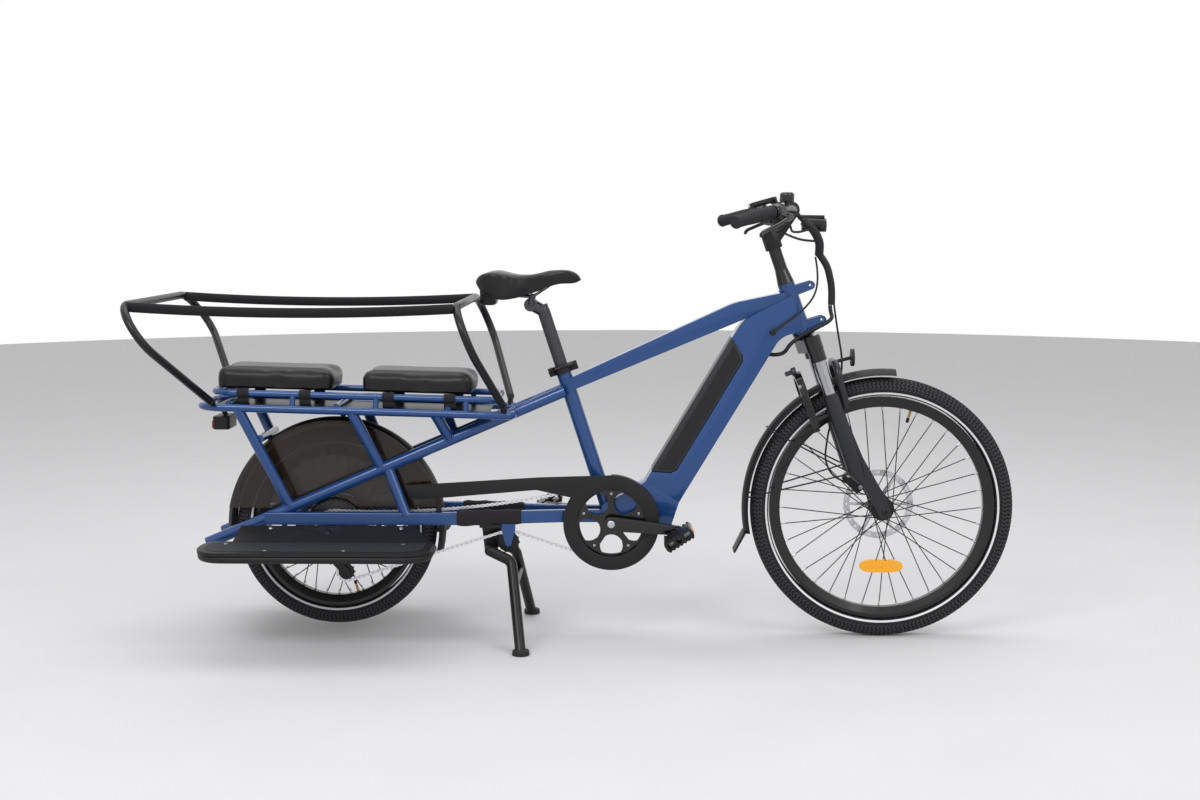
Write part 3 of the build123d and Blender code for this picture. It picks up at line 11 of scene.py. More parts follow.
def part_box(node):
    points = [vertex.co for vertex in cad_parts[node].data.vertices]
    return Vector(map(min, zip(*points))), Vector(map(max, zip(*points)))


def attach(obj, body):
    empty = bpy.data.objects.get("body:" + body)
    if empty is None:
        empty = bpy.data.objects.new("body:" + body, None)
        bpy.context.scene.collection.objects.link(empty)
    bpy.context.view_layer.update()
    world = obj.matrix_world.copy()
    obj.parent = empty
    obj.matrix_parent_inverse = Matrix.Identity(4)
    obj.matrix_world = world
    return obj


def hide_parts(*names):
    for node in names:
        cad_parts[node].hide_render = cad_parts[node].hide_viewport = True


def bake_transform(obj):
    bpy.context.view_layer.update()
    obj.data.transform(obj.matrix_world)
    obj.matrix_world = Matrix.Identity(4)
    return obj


# Looks of the longtail cargo bicycle. Metres; +X forward, +Y to the rider's left, +Z up.

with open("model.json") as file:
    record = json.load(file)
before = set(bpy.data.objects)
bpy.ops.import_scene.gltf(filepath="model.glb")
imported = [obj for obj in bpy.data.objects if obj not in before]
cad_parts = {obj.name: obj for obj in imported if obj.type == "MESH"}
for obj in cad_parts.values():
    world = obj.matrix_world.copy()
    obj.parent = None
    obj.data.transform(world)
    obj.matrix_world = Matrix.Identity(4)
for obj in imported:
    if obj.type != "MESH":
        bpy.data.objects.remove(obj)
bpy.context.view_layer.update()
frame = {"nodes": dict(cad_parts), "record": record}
NODES = frame["nodes"]
SCENE = bpy.context.scene

# ---- places shared with the solids
def flat(x, z):
    """A place or a step in the bicycle's middle plane."""
    return Vector((x, 0.0, z))


def tilted(turn):
    """The directions ahead and up, turned by this angle."""
    return flat(cos(turn), sin(turn)), flat(-sin(turn), cos(turn))


AHEAD, UP, LEFT = flat(1.0, 0.0), flat(0.0, 1.0), Vector((0.0, 1.0, 0.0))
REAR_AXLE = flat(-0.638, 0.285)
FRONT_AXLE = flat(0.759, 0.3345)
CRANK = flat(0.07, 0.303)
FRONT_TYRE_RADIUS = 0.3345
REAR_TYRE_RADIUS = 0.258
TYRE_WIDTH = 0.055
HEAD_ANGLE, SEAT_ANGLE = radians(71.0), radians(72.1)
FORK_LENGTH = 0.489
FORK_OFFSET = 0.049
STEER_AHEAD, STEER_UP = tilted(pi / 2 - HEAD_ANGLE)
HEAD_FOOT = FRONT_AXLE + STEER_UP * FORK_LENGTH - STEER_AHEAD * FORK_OFFSET
CHAIN_Y = -0.051
# what is drawn on the left is multiplied by one of these, for the left and for the right side
SIDES = (Vector((1.0, 1.0, 1.0)), Vector((1.0, -1.0, 1.0)))


def fore(distance):
    """X of a place this far ahead of the rear axle."""
    return REAR_AXLE.x + distance


def at(distance, y, z):
    """A place this far ahead of the rear axle."""
    return Vector((fore(distance), y, z))


def ring_point(centre, radius, turn, y=0.0):
    """A place on a circle round an axle, y to the left."""
    return centre + Vector((radius * cos(turn), y, radius * sin(turn)))


def steer_point(ahead, y, up):
    """A place measured from the head tube's foot: ahead of and along the steering axis."""
    return HEAD_FOOT + STEER_AHEAD * ahead + STEER_UP * up + LEFT * y


def turns(count):
    """Equal turns round a circle."""
    return [2 * pi * k / count for k in range(count)]


def asin_clamped(value):
    value = max(-1.0, min(1.0, value))
    return atan2(value, sqrt(max(1e-9, 1 - value * value)))


def linked(name, data):
    """A new object in the scene."""
    item = bpy.data.objects.new(name, data)
    SCENE.collection.objects.link(item)
    return item


def configure(item, **settings):
    """Give something of Blender's these settings, in this order."""
    for name, value in settings.items():
        setattr(item, name, value)
    return item


def add_node(nodes, kind, **inputs):
    """A shader node with values for some of its inputs."""
    node = nodes.new("ShaderNode" + kind)
    for name, value in inputs.items():
        node.inputs[name.replace("_", " ")].default_value = value
    return node


# ---- camera, floor and light
FOCAL_LENGTH = 48.47
CAMERA_PLACE = Vector((0.1393, -4.0945, 1.0817))
CAMERA_YAW = -0.0241
CAMERA_PITCH = 0.1148
CAMERA_ROLL = -0.0019
# strength of the white surroundings as a light, and where they are seen or mirrored
LIGHT_STRENGTH, SEEN_STRENGTH = 0.6, 1.0


def linear(red, green, blue):
    """A display colour, 0 to 255, as the shader's linear colour."""
    def channel(value):
        value /= 255
        return value / 12.92 if value <= 0.04045 else ((value + 0.055) / 1.055) ** 2.4
    return (channel(red), channel(green), channel(blue), 1.0)


def make_camera():
    level = cos(CAMERA_PITCH)
    forward = Vector((sin(CAMERA_YAW) * level, cos(CAMERA_YAW) * level, -sin(CAMERA_PITCH)))
    right = Vector((cos(CAMERA_YAW), -sin(CAMERA_YAW), 0.0))
    up = right.cross(forward)
    rolled_right = right * cos(CAMERA_ROLL) + up * sin(CAMERA_ROLL)
    rolled_up = up * cos(CAMERA_ROLL) - right * sin(CAMERA_ROLL)
    data = configure(bpy.data.cameras.new("camera"), lens=FOCAL_LENGTH, sensor_width=36.0, clip_end=60.0)
    camera = linked("camera", data)
    turn = Matrix((rolled_right, rolled_up, -forward)).transposed()
    camera.matrix_world = Matrix.Translation(CAMERA_PLACE) @ turn.to_4x4()
    SCENE.camera = camera


def area_light(name, place, target, size, power):
    data = bpy.data.lights.new(name, "AREA")
    light = linked(name, configure(data, shape="RECTANGLE", size=size[0], size_y=size[1], energy=power))
    turn = (Vector(target) - Vector(place)).to_track_quat("-Z", "Y")
    light.matrix_world = Matrix.Translation(place) @ turn.to_matrix().to_4x4()


def make_studio():
    """White surroundings, soft lamps and a pale floor."""
    world = bpy.data.worlds.new("studio")
    SCENE.world = world
    world.use_nodes = True
    nodes, links = world.node_tree.nodes, world.node_tree.links
    background = nodes["Background"]
    path = add_node(nodes, "LightPath")
    seen, clear = add_node(nodes, "Math"), add_node(nodes, "Math")
    seen.operation = clear.operation = "MAXIMUM"
    links.new(path.outputs["Is Camera Ray"], seen.inputs[0])
    links.new(path.outputs["Is Transmission Ray"], seen.inputs[1])
    links.new(seen.outputs[0], clear.inputs[0])
    links.new(path.outputs["Is Glossy Ray"], clear.inputs[1])
    strength = add_node(nodes, "MapRange", To_Min=LIGHT_STRENGTH, To_Max=SEEN_STRENGTH)
    links.new(clear.outputs[0], strength.inputs["Value"])
    links.new(strength.outputs[0], background.inputs["Strength"])
    background.inputs["Color"].default_value = (1.0, 1.0, 1.0, 1.0)

    area_light("key", (-1.6, -3.4, 3.6), (0.0, 0.0, 0.4), (2.4, 1.2), 76)
    area_light("fill", (2.6, -2.6, 3.0), (0.2, 0.0, 0.5), (2.4, 1.6), 38)
    area_light("top", (0.0, 0.6, 4.0), (0.0, 0.0, 0.4), (4.5, 2.0), 60)

    bpy.ops.mesh.primitive_circle_add(vertices=96, radius=9.0, fill_type="NGON", location=(0.0, 2.0, 0.0))
    ground = bpy.context.object
    ground.name = "floor"
    material = surface("floor_paint", (214, 213, 215), (222, 221, 223), 0.62, grain=3, bump=0.0)
    ground.data.materials.append(material)


# ---- materials
SPECULAR_LEVEL = 0.34
COAT_ROUGHNESS = 0.07


def surface(name, colour, second, roughness, metallic=0.0, grain=300, bump=0.0001, bump_grain=900,
            coat=0.0, spread=0.08, alpha=1.0):
    """A painted, moulded or metal finish: its colour, gloss and relief vary a little over the surface."""
    material = bpy.data.materials.new(name)
    material.use_nodes = True
    nodes, links = material.node_tree.nodes, material.node_tree.links
    shader = nodes["Principled BSDF"]
    for name, value in (
        ("Metallic", metallic), ("Specular IOR Level", SPECULAR_LEVEL), ("Coat Weight", coat),
        ("Coat Roughness", COAT_ROUGHNESS), ("Alpha", alpha),
    ):
        shader.inputs[name].default_value = value
    place = add_node(nodes, "TexCoord")
    mottle = add_node(nodes, "TexNoise", Scale=grain, Detail=4.0)
    links.new(place.outputs["Object"], mottle.inputs["Vector"])
    blend = add_node(nodes, "Mix")
    blend.data_type = "RGBA"
    blend.inputs["A"].default_value = linear(*colour)
    blend.inputs["B"].default_value = linear(*second)
    links.new(mottle.outputs["Fac"], blend.inputs["Factor"])
    links.new(blend.outputs["Result"], shader.inputs["Base Color"])
    gloss = add_node(
        nodes, "MapRange", To_Min=max(0.0, roughness - spread), To_Max=min(1.0, roughness + spread),
    )
    links.new(mottle.outputs["Fac"], gloss.inputs["Value"])
    links.new(gloss.outputs[0], shader.inputs["Roughness"])
    if bump:
        relief = add_node(nodes, "TexNoise", Scale=bump_grain, Detail=3.0)
        links.new(place.outputs["Object"], relief.inputs["Vector"])
        bumps = add_node(nodes, "Bump", Distance=bump, Strength=0.5)
        links.new(relief.outputs["Fac"], bumps.inputs["Height"])
        links.new(bumps.outputs["Normal"], shader.inputs["Normal"])
    return material


make_camera()

BLUE = surface("blue_paint", (20, 62, 117), (29, 72, 131), 0.24, metallic=0.12, grain=900, bump=0.00002,
               bump_grain=1400, coat=0.45)
BLACK_PAINT = surface("black_paint", (10, 10, 12), (18, 18, 21), 0.32, grain=500, bump=0.00006)
GLOSS_BLACK = surface("gloss_black_paint", (7, 7, 9), (12, 12, 15), 0.2, bump=0.00004, bump_grain=600,
                      coat=0.4)
BLACK_PLASTIC = surface("black_plastic", (14, 14, 16), (22, 22, 25), 0.5, grain=700, bump_grain=1500)
RUBBER = surface("tyre_rubber", (16, 16, 18), (25, 25, 27), 0.74, grain=160, bump=0.0003)
GRIP_RUBBER = surface("grip_rubber", (28, 28, 31), (43, 43, 47), 0.72, grain=400, bump=0.0003,
                      bump_grain=1400)
RIM_BLACK = surface("rim_paint", (11, 11, 13), (18, 18, 21), 0.26, grain=60, bump=0.00003,
                    bump_grain=500, coat=0.2)
VINYL = surface("vinyl", (11, 11, 13), (18, 18, 21), 0.34, grain=120, bump=0.00022, bump_grain=520)
FOAM = surface("foam", (18, 18, 20), (29, 29, 32), 0.92, grain=600, bump=0.0006, bump_grain=1200)
SILVER = surface("silver_alloy", (176, 178, 182), (204, 206, 210), 0.34, metallic=0.9, grain=90,
                 bump=0.00008, bump_grain=700)
STEEL = surface("steel", (138, 139, 143), (178, 179, 183), 0.32, metallic=1.0, grain=180,
                bump_grain=500)
CHROME = surface("chrome", (158, 160, 164), (178, 180, 184), 0.12, metallic=1.0, grain=40, bump=0.00002,
                 bump_grain=200, spread=0.04)
CHAIN_STEEL = surface("chain_steel", (206, 207, 210), (236, 237, 240), 0.32, metallic=0.8, grain=260)
LAMP_BLACK = surface("lamp_body", (10, 10, 12), (16, 16, 19), 0.34, bump=0.00005)

# painted highlight: the battery shell, seen as the upward facet and the rim round the face panels, is a
# lighter grey than the black faces, for the light that facet catches
BATTERY_PAINTED_HIGHLIGHT = surface("battery_shell_painted_highlight", (34, 34, 38), (50, 50, 55), 0.36, grain=400, bump_grain=3200)
BATTERY_FACE = surface("battery_face", (17, 17, 19), (26, 26, 29), 0.3, bump=0.00006, bump_grain=700)
FORK_BLACK = surface("fork_paint", (31, 32, 36), (42, 43, 48), 0.36, metallic=0.2, grain=600,
                     bump=0.00005, bump_grain=1100, coat=0.15)
TREAD = surface("tread_rubber", (46, 46, 50), (64, 64, 69), 0.66, grain=220, bump=0.0002)
POST_GREY = surface("anodised_post", (62, 62, 66), (84, 84, 89), 0.3, metallic=0.75, bump=0.00005)
ROTOR_STEEL = surface("rotor_steel", (186, 186, 190), (212, 212, 216), 0.28, metallic=0.85, grain=200,
                      bump=0.00008, bump_grain=700)
STRIPE = surface("reflex_stripe", (222, 222, 225), (236, 236, 239), 0.45, grain=400, bump_grain=3200)
BRASS = surface("brass", (150, 118, 70), (176, 142, 88), 0.34, metallic=0.9, grain=200, bump_grain=1600)
AMBER = surface("amber_lens", (246, 158, 8), (252, 182, 22), 0.22, bump=0.0006, bump_grain=420, coat=0.6)
DARK_STEEL = surface("dark_steel", (52, 52, 55), (84, 84, 88), 0.36, metallic=0.8, grain=220,
                     bump_grain=1760)
WEBBING = surface("webbing", (20, 20, 22), (34, 34, 37), 0.86, grain=900, bump=0.0005, bump_grain=1300)
NEOPRENE = surface("neoprene", (25, 23, 25), (38, 35, 38), 0.88, grain=500, bump=0.0005,
                   bump_grain=1600)
GRIP_SHEET = surface("grip_sheet", (30, 31, 36), (45, 46, 51), 0.7, grain=1200, bump=0.0003,
                     bump_grain=1700)
RED_LENS = surface("red_lens", (176, 18, 12), (206, 34, 22), 0.16, bump=0.0003, bump_grain=500, coat=0.5)
LENS_GLASS = surface("lens_glass", (170, 174, 180), (206, 210, 214), 0.08, grain=120, bump=0.0006,
                     bump_grain=220, coat=0.6)
WHITE_LENS = surface("white_lens", (200, 202, 206), (226, 228, 232), 0.2, grain=260, bump=0.0005,
                     bump_grain=400, coat=0.5)
SCREEN = surface("screen_glass", (12, 13, 16), (20, 22, 26), 0.08, grain=60, bump=0.0, coat=0.5)
CABLE = surface("cable_sleeve", (20, 20, 22), (34, 34, 37), 0.55, grain=500, bump=0.0002)
SMOKED = surface("smoked_sheet", (38, 28, 18), (48, 36, 25), 0.16, grain=9, bump=0.00005, bump_grain=30,
                 coat=0.4, alpha=0.64)

make_studio()

SLOT_FINISH = {
    "frame_blue": BLUE, "black_metal": BLACK_PAINT, "tyre_rubber": RUBBER, "rim_black": RIM_BLACK,
    "silver": SILVER, "steel": STEEL, "chrome": CHROME, "chain_steel": CHAIN_STEEL,
    "black_plastic": BLACK_PLASTIC, "gloss_black": GLOSS_BLACK, "smoked": SMOKED,
    "reflector_white": WHITE_LENS, "cable_black": CABLE, "vinyl": VINYL, "foam": FOAM,
    "rubber": GRIP_RUBBER, "lamp": LAMP_BLACK,
}


def dress(node, material):
    """Give a CAD node one finish."""
    mesh = NODES[node].data
    mesh.materials.clear()
    mesh.materials.append(material)


for part in frame["record"]["subparts"]:
    dress(part["node"], SLOT_FINISH[part["material_slot"]])


# ---- mesh helpers
class Shape:
    """Vertices and faces of several forms that make one piece; each form's method returns the shape."""

    def __init__(self):
        self.vertices = []
        self.faces = []

    def grid(self, rows, close_rows=True, close_columns=True, cap=False):
        """Quads between rows of points."""
        start = len(self.vertices)
        count = len(rows[0])
        for row in rows:
            self.vertices.extend(Vector(point) for point in row)
        last_row = len(rows) if close_rows else len(rows) - 1
        last_column = count if close_columns else count - 1
        for i in range(last_row):
            for j in range(last_column):
                a = start + i * count
                b = start + ((i + 1) % len(rows)) * count
                k = (j + 1) % count
                self.faces.append((a + j, a + k, b + k, b + j))
        if cap:
            self.faces.append(tuple(start + j for j in range(count)))
            last = start + (len(rows) - 1) * count
            self.faces.append(tuple(last + j for j in reversed(range(count))))
        return self

    def lathe(self, centre, axis, profile, segments=32):
        """Spin (along, radius) points about an axis; a profile that ends on the axis closes itself."""
        axis = Vector(axis).normalized()
        side = axis.cross(Vector((0.31, 0.92, 0.24))).normalized()
        other = axis.cross(side)
        centre = Vector(centre)
        rows = []
        for turn in turns(segments):
            out = side * cos(turn) + other * sin(turn)
            rows.append([centre + axis * along + out * radius for along, radius in profile])
        return self.grid(rows, True, False)

    def tube(self, points, radius, segments=10, caps=True):
        """A round tube along a polyline; radius is one value or one for each point."""
        points = [Vector(point) for point in points]
        radii = radius if isinstance(radius, (list, tuple)) else [radius] * len(points)
        tangents = []
        for i in range(len(points)):
            before = points[max(0, i - 1)]
            after = points[min(len(points) - 1, i + 1)]
            tangents.append((after - before).normalized())
        side = tangents[0].cross(Vector((0.12, 0.99, 0.08)))
        if side.length < 0.2:
            side = tangents[0].cross(Vector((0.9, 0.1, 0.3)))
        side.normalize()
        rows = []
        for point, tangent, reach in zip(points, tangents, radii):
            side = (side - tangent * side.dot(tangent)).normalized()
            other = tangent.cross(side)
            rows.append([point + (side * cos(turn) + other * sin(turn)) * reach for turn in turns(segments)])
        return self.grid(rows, False, True, caps)

    def slab(self, centre, x_dir, y_dir, outline, thickness):
        """An outline of (u, v) points with a thickness across its plane, centred on it."""
        centre, x_dir, y_dir = Vector(centre), Vector(x_dir).normalized(), Vector(y_dir).normalized()
        across = x_dir.cross(y_dir)
        rows = []
        for shift in (-thickness / 2, thickness / 2):
            rows.append([centre + x_dir * u + y_dir * v + across * shift for u, v in outline])
        return self.grid(rows, False, True, True)

    def button(self, place, axis, radius, height):
        """A bolt head with a round socket."""
        return self.lathe(place, axis, [
            (0.0, radius), (height * 0.7, radius), (height, radius * 0.82), (height, radius * 0.48),
            (height * 0.4, radius * 0.46), (height * 0.4, 0.0),
        ], 18)

    def piece(self, name, material, body, angle=30, slot=None):
        """A mesh piece that moves with a body; edges sharper than the angle stay sharp."""
        mesh = bpy.data.meshes.new(name)
        mesh.from_pydata([tuple(vertex) for vertex in self.vertices], [], self.faces)
        mesh.validate()
        work = bmesh.new()
        work.from_mesh(mesh)
        bmesh.ops.recalc_face_normals(work, faces=work.faces)
        work.to_mesh(mesh)
        work.free()
        mesh.materials.append(material)
        mesh.shade_smooth()
        mesh.set_sharp_from_angle(angle=radians(angle))
        piece = linked(name, mesh)
        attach(piece, body)
        return piece


def rounded(half_x, half_y, radius, steps=5):
    """Outline points of a rounded rectangle."""
    points = []
    for corner_x, corner_y, start in ((1, 1, 0), (-1, 1, 90), (-1, -1, 180), (1, -1, 270)):
        for step in range(steps + 1):
            turn = radians(start + 90 * step / steps)
            points.append((
                corner_x * (half_x - radius) + radius * cos(turn),
                corner_y * (half_y - radius) + radius * sin(turn),
            ))
    return points


def fasteners(name, material, body, heads):
    """Bolt heads, each with its place, axis, radius and height, as one piece."""
    shape = Shape()
    for head in heads:
        shape.button(*head)
    shape.piece(name, material, body)


# ---- tyres
def tyre_point(axle, radius, turn, around, lift):
    """On a tyre: turn about the axle, around the section from its crown, lift from the section's circle."""
    reach = TYRE_WIDTH / 2 + lift
    out = radius - TYRE_WIDTH / 2 + reach * cos(around)
    return axle + Vector((out * cos(turn), reach * sin(around), out * sin(turn)))


# blocks of the herringbone tread: their span around the section in degrees, their start and slant in
# pitches, and how far they sink
TREAD_ROWS = (
    (1.0, 15.0, 0.0, 0.55, 0.0), (18.0, 32.0, 0.5, 0.55, 0.0), (35.0, 48.0, 0.0, -0.5, 0.0),
    (50.0, 63.0, -0.5, 0.5, 0.0), (65.0, 79.0, 0.0, -0.5, 0.0003), (81.0, 95.0, -0.5, 0.5, 0.0009),
)
BLOCK_LENGTH = 0.52
BEAD = radians(136)
CASING_SINK, BLOCK_FOOT = 0.0027, 0.0032
STRIPE_HALF = 0.0031


def make_tyre(name, node, body, axle, radius, stripe_radius, pitches):
    """A casing in place of the CAD tyre, with tread blocks and a reflex stripe on each wall."""
    tyre = Shape().grid([
        [tyre_point(axle, radius, turn, -BEAD + 2 * BEAD * j / 36, -CASING_SINK) for j in range(37)]
        for turn in turns(180)
    ], True, False).piece(name + "_casing", RUBBER, body, 50, "tyre_rubber")
    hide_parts(node)

    tread = Shape()
    pitch = 2 * pi / pitches
    for index in range(pitches):
        for side in (-1, 1):
            for low, high, start, slant, taper in TREAD_ROWS:
                offset = pitch * (index + start + (0.5 if side > 0 else 0.0))
                low_turn, high_turn = radians(low) * side, radians(high) * side
                corners = (
                    (low_turn, offset), (high_turn, offset + slant * pitch),
                    (high_turn, offset + (slant + BLOCK_LENGTH) * pitch),
                    (low_turn, offset + BLOCK_LENGTH * pitch),
                )
                foot = [tyre_point(axle, radius, turn, around, -BLOCK_FOOT) for around, turn in corners]
                middle_turn = sum(turn for _, turn in corners) / 4
                middle = sum(around for around, _ in corners) / 4
                top = []
                for around, turn in corners:
                    turn_in = turn + (middle_turn - turn) * 0.14
                    around_in = around + (middle - around) * 0.12
                    top.append(tyre_point(axle, radius, turn_in, around_in, -0.0001 - taper))
                first = len(tread.vertices)
                tread.vertices.extend(foot + top)
                tread.faces.append(tuple(first + k for k in (4, 5, 6, 7)))
                for k in range(4):
                    n = (k + 1) % 4
                    tread.faces.append((first + k, first + n, first + 4 + n, first + 4 + k))
    tread.piece(name + "_tread", TREAD, body, 20, "tyre_rubber")

    stripe = Shape()
    middle_radius = radius - TYRE_WIDTH / 2
    around = pi / 2 + asin_clamped((middle_radius - stripe_radius) / (TYRE_WIDTH / 2))
    half = STRIPE_HALF / (TYRE_WIDTH / 2)
    section = ((-1, -0.0031), (-0.9, -0.002), (0, -0.0018), (0.9, -0.002), (1, -0.0031))
    for side in (-1, 1):
        stripe.grid([
            [tyre_point(axle, radius, turn, side * (around + k * half), lift) for k, lift in section]
            for turn in turns(180)
        ], True, False)
    stripe.piece(name + "_stripe", STRIPE, body, 60)


make_tyre("front_tyre_mesh", "front_tyre", "front_wheel", FRONT_AXLE, FRONT_TYRE_RADIUS, 0.2935, 190)
make_tyre("rear_tyre_mesh", "rear_tyre", "rear_wheel", REAR_AXLE, REAR_TYRE_RADIUS, 0.217, 148)


# ---- spokes, valves, reflector
def wheel_trim(name, body, axle, rim_inner, valve_turn):
    """Spoke nipples, a valve and its cap, inside a rim."""
    nipples = Shape()
    for index, turn in enumerate(turns(36)):
        side = 1 if index % 2 else -1
        nipples.lathe(ring_point(axle, rim_inner, turn, side * 0.003), -tilted(turn)[0], [
            (0.0, 0.0032), (0.002, 0.0032), (0.0022, 0.0024), (0.011, 0.0021), (0.0125, 0.0),
        ], 10)
    nipples.piece(name + "_nipples", SILVER, body, 35)
    inward = -tilted(valve_turn)[0]
    Shape().lathe(ring_point(axle, rim_inner + 0.001, valve_turn), inward, [
        (0.0, 0.0052), (0.003, 0.0052), (0.0035, 0.0035), (0.018, 0.0032), (0.0185, 0.0028), (0.024, 0.0028),
        (0.024, 0.0),
    ], 14).piece(name + "_valve", BRASS, body, 35)
    Shape().lathe(ring_point(axle, rim_inner - 0.0205, valve_turn), inward, [
        (0.0, 0.0042), (0.01, 0.0042), (0.012, 0.003), (0.0125, 0.0),
    ], 14).piece(name + "_valve_cap", BLACK_PLASTIC, body, 35)


wheel_trim("front", "front_wheel", FRONT_AXLE, 0.259, radians(74))
wheel_trim("rear", "rear_wheel", REAR_AXLE, 0.1825, radians(-74))

# the reflector that is clipped between the front spokes: its lens, clip and screw
LENS_HALF_LENGTH, LENS_HALF_HEIGHT = 0.056, 0.0165
reflector = FRONT_AXLE + flat(0.001, -0.151)
lens = []
for k in range(33):
    across = -1 + 2 * k / 32
    rise = LENS_HALF_HEIGHT * sqrt(1 - abs(across) ** 5) * (1 - 0.12 * across * across)
    lens.append((across * LENS_HALF_LENGTH, rise + 0.0002))
lens += [(x, -y) for x, y in reversed(lens)]
Shape().slab(reflector - LEFT * 0.012, AHEAD, UP, lens, 0.009).piece("spoke_reflector", AMBER, "front_wheel")
Shape().button(reflector - LEFT * 0.0165, -LEFT, 0.004, 0.002).slab(
    reflector - LEFT * 0.005, AHEAD, UP, rounded(0.03, 0.009, 0.004), 0.01,
).piece("spoke_reflector_clip", AMBER, "front_wheel")


# ---- chain and its wheels
JOCKEY_LOW = at(0.03, CHAIN_Y, 0.173)
JOCKEY_HIGH = at(-0.008, CHAIN_Y, 0.213)
IDLER = at(0.447, CHAIN_Y, 0.251)
CHAIN_INSET = 0.0043
CHAIN_WHEELS = (
    (CRANK, 0.101, 1), (REAR_AXLE, 0.046, 1), (JOCKEY_HIGH, 0.02 + CHAIN_INSET, -1),
    (JOCKEY_LOW, 0.02 + CHAIN_INSET, 1), (IDLER, 0.026 + CHAIN_INSET, -1),
)
SLACK_TURN = radians(8.5)
IDLER_PLATE_INSIDE = -0.0655


def touch(wheel, heading):
    """Where the chain leaves or meets a wheel when it runs with this heading."""
    centre, radius, side = wheel
    reach = radius * side
    return Vector((centre.x + reach * sin(heading), CHAIN_Y, centre.z - reach * cos(heading)))


def heading_between(wheel, following):
    """Heading of the chain's straight run from one wheel to the next."""
    run_x = following[0].x - wheel[0].x
    run_z = following[0].z - wheel[0].z
    length = sqrt(run_x * run_x + run_z * run_z)
    return atan2(run_z, run_x) - asin_clamped((following[1] * following[2] - wheel[1] * wheel[2]) / length)


def chain_route():
    """Closely spaced points along the chain's middle line."""
    count = len(CHAIN_WHEELS)
    leave = [heading_between(wheel, CHAIN_WHEELS[(i + 1) % count]) for i, wheel in enumerate(CHAIN_WHEELS)]
    arrive = [leave[i - 1] for i in range(count)]
    chord = leave[0]
    for _ in range(20):
        run = touch(CHAIN_WHEELS[1], chord - SLACK_TURN) - touch(CHAIN_WHEELS[0], chord + SLACK_TURN)
        chord = atan2(run.z, run.x)
    leave[0] = chord + SLACK_TURN
    arrive[1] = chord - SLACK_TURN
    points = []
    for i, wheel in enumerate(CHAIN_WHEELS):
        turn = (leave[i] - arrive[i]) % (2 * pi)
        if wheel[2] < 0:
            turn -= 2 * pi
        steps = max(4, int(abs(turn) * wheel[1] / 0.002))
        points += [touch(wheel, arrive[i] + turn * k / steps) for k in range(steps)]
        start = touch(wheel, leave[i])
        end = touch(CHAIN_WHEELS[(i + 1) % count], arrive[(i + 1) % count])
        run = end - start
        steps = int(run.length / 0.002)
        sag = run.length / 2 * sin(SLACK_TURN / 2) / cos(SLACK_TURN / 2) if i == 0 else 0.0
        down = flat(-run.z, run.x).normalized()
        for k in range(steps):
            t = k / steps
            points.append(start + run * t + down * (4 * sag * t * (1 - t)))
    return points


def spaced(points, count):
    """That many points at one spacing along a closed line."""
    lengths = [0.0]
    closed = points + [points[0]]
    for a, b in zip(closed, closed[1:]):
        lengths.append(lengths[-1] + (b - a).length)
    result = []
    k = 0
    for index in range(count):
        want = lengths[-1] * index / count
        while lengths[k + 1] < want:
            k += 1
        part = (want - lengths[k]) / max(1e-9, lengths[k + 1] - lengths[k])
        result.append(closed[k].lerp(closed[k + 1], part))
    return result


route = chain_route()
route_length = sum((b - a).length for a, b in zip(route, route[1:] + route[:1]))
link_count = 2 * round(route_length / 0.0127 / 2)
pins = spaced(route, link_count)
plates = Shape()
rollers = Shape()
PLATE = [
    (-0.0098, 0.0012), (-0.009, 0.003), (-0.0065, 0.004), (-0.0035, 0.0034), (0.0, 0.0025),
    (0.0035, 0.0034), (0.0065, 0.004), (0.009, 0.003), (0.0098, 0.0012),
]
PLATE += [(x, -y) for x, y in reversed(PLATE)]
for index, pin in enumerate(pins):
    following = pins[(index + 1) % link_count]
    along = (following - pin).normalized()
    spread = 0.0029 if index % 2 else 0.0019
    for side in (-1, 1):
        plates.slab((pin + following) / 2 + LEFT * side * spread, along, along.cross(LEFT), PLATE, 0.0009)
    rollers.lathe(pin - LEFT * 0.0036, LEFT, [
        (0.0, 0.0), (0.0, 0.0018), (0.0024, 0.0018), (0.0024, 0.0037), (0.0048, 0.0037), (0.0048, 0.0018),
        (0.0072, 0.0018), (0.0072, 0.0),
    ], 8)
links = plates.piece("chain_plates", CHAIN_STEEL, "frame", 30, "chain_steel")
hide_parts("chain")
rollers.piece("chain_rollers", STEEL, "frame", 30, "chain_steel")


def sprocket(shape, centre, y, root, count, thickness):
    """A ring of teeth whose points reach past the root circle."""
    outline = []
    for tooth in range(count):
        for offset, lift in ((-0.3, 0.0), (-0.1, 0.0046), (0.1, 0.0046), (0.3, 0.0)):
            turn = 2 * pi * (tooth + offset) / count
            outline.append(((root + lift) * cos(turn), (root + lift) * sin(turn)))
    inner = [(u * (root - 0.01) / sqrt(u * u + v * v), v * (root - 0.01) / sqrt(u * u + v * v))
             for u, v in outline]
    rows = []
    for ring, shift in ((outline, -0.5), (outline, 0.5), (inner, 0.5), (inner, -0.5)):
        rows.append([Vector((centre.x + u, y + shift * thickness, centre.z + v)) for u, v in ring])
    return shape.grid(rows)


sprocket(Shape(), CRANK, CHAIN_Y, 0.0968, 50, 0.0022).piece("chainring_teeth", BLACK_PAINT, "cranks", 25)
cogs = Shape()
COGS = ((0.0665, 34), (0.0585, 30), (0.0505, 26), (0.0415, 21), (0.0325, 17), (0.0275, 14))
for step, (radius, count) in enumerate(COGS):
    sprocket(cogs, REAR_AXLE, CHAIN_Y + 0.0044 * (3 - step), radius, count, 0.0019)
cogs.piece("cassette_teeth", DARK_STEEL, "rear_wheel", 25)
jockeys = Shape()
for centre in (JOCKEY_LOW, JOCKEY_HIGH):
    sprocket(jockeys, centre, CHAIN_Y, 0.0185, 11, 0.0024)
sprocket(jockeys, IDLER, CHAIN_Y, 0.024, 13, 0.0026)
jockeys.piece("jockey_teeth", BLACK_PLASTIC, "frame", 25)

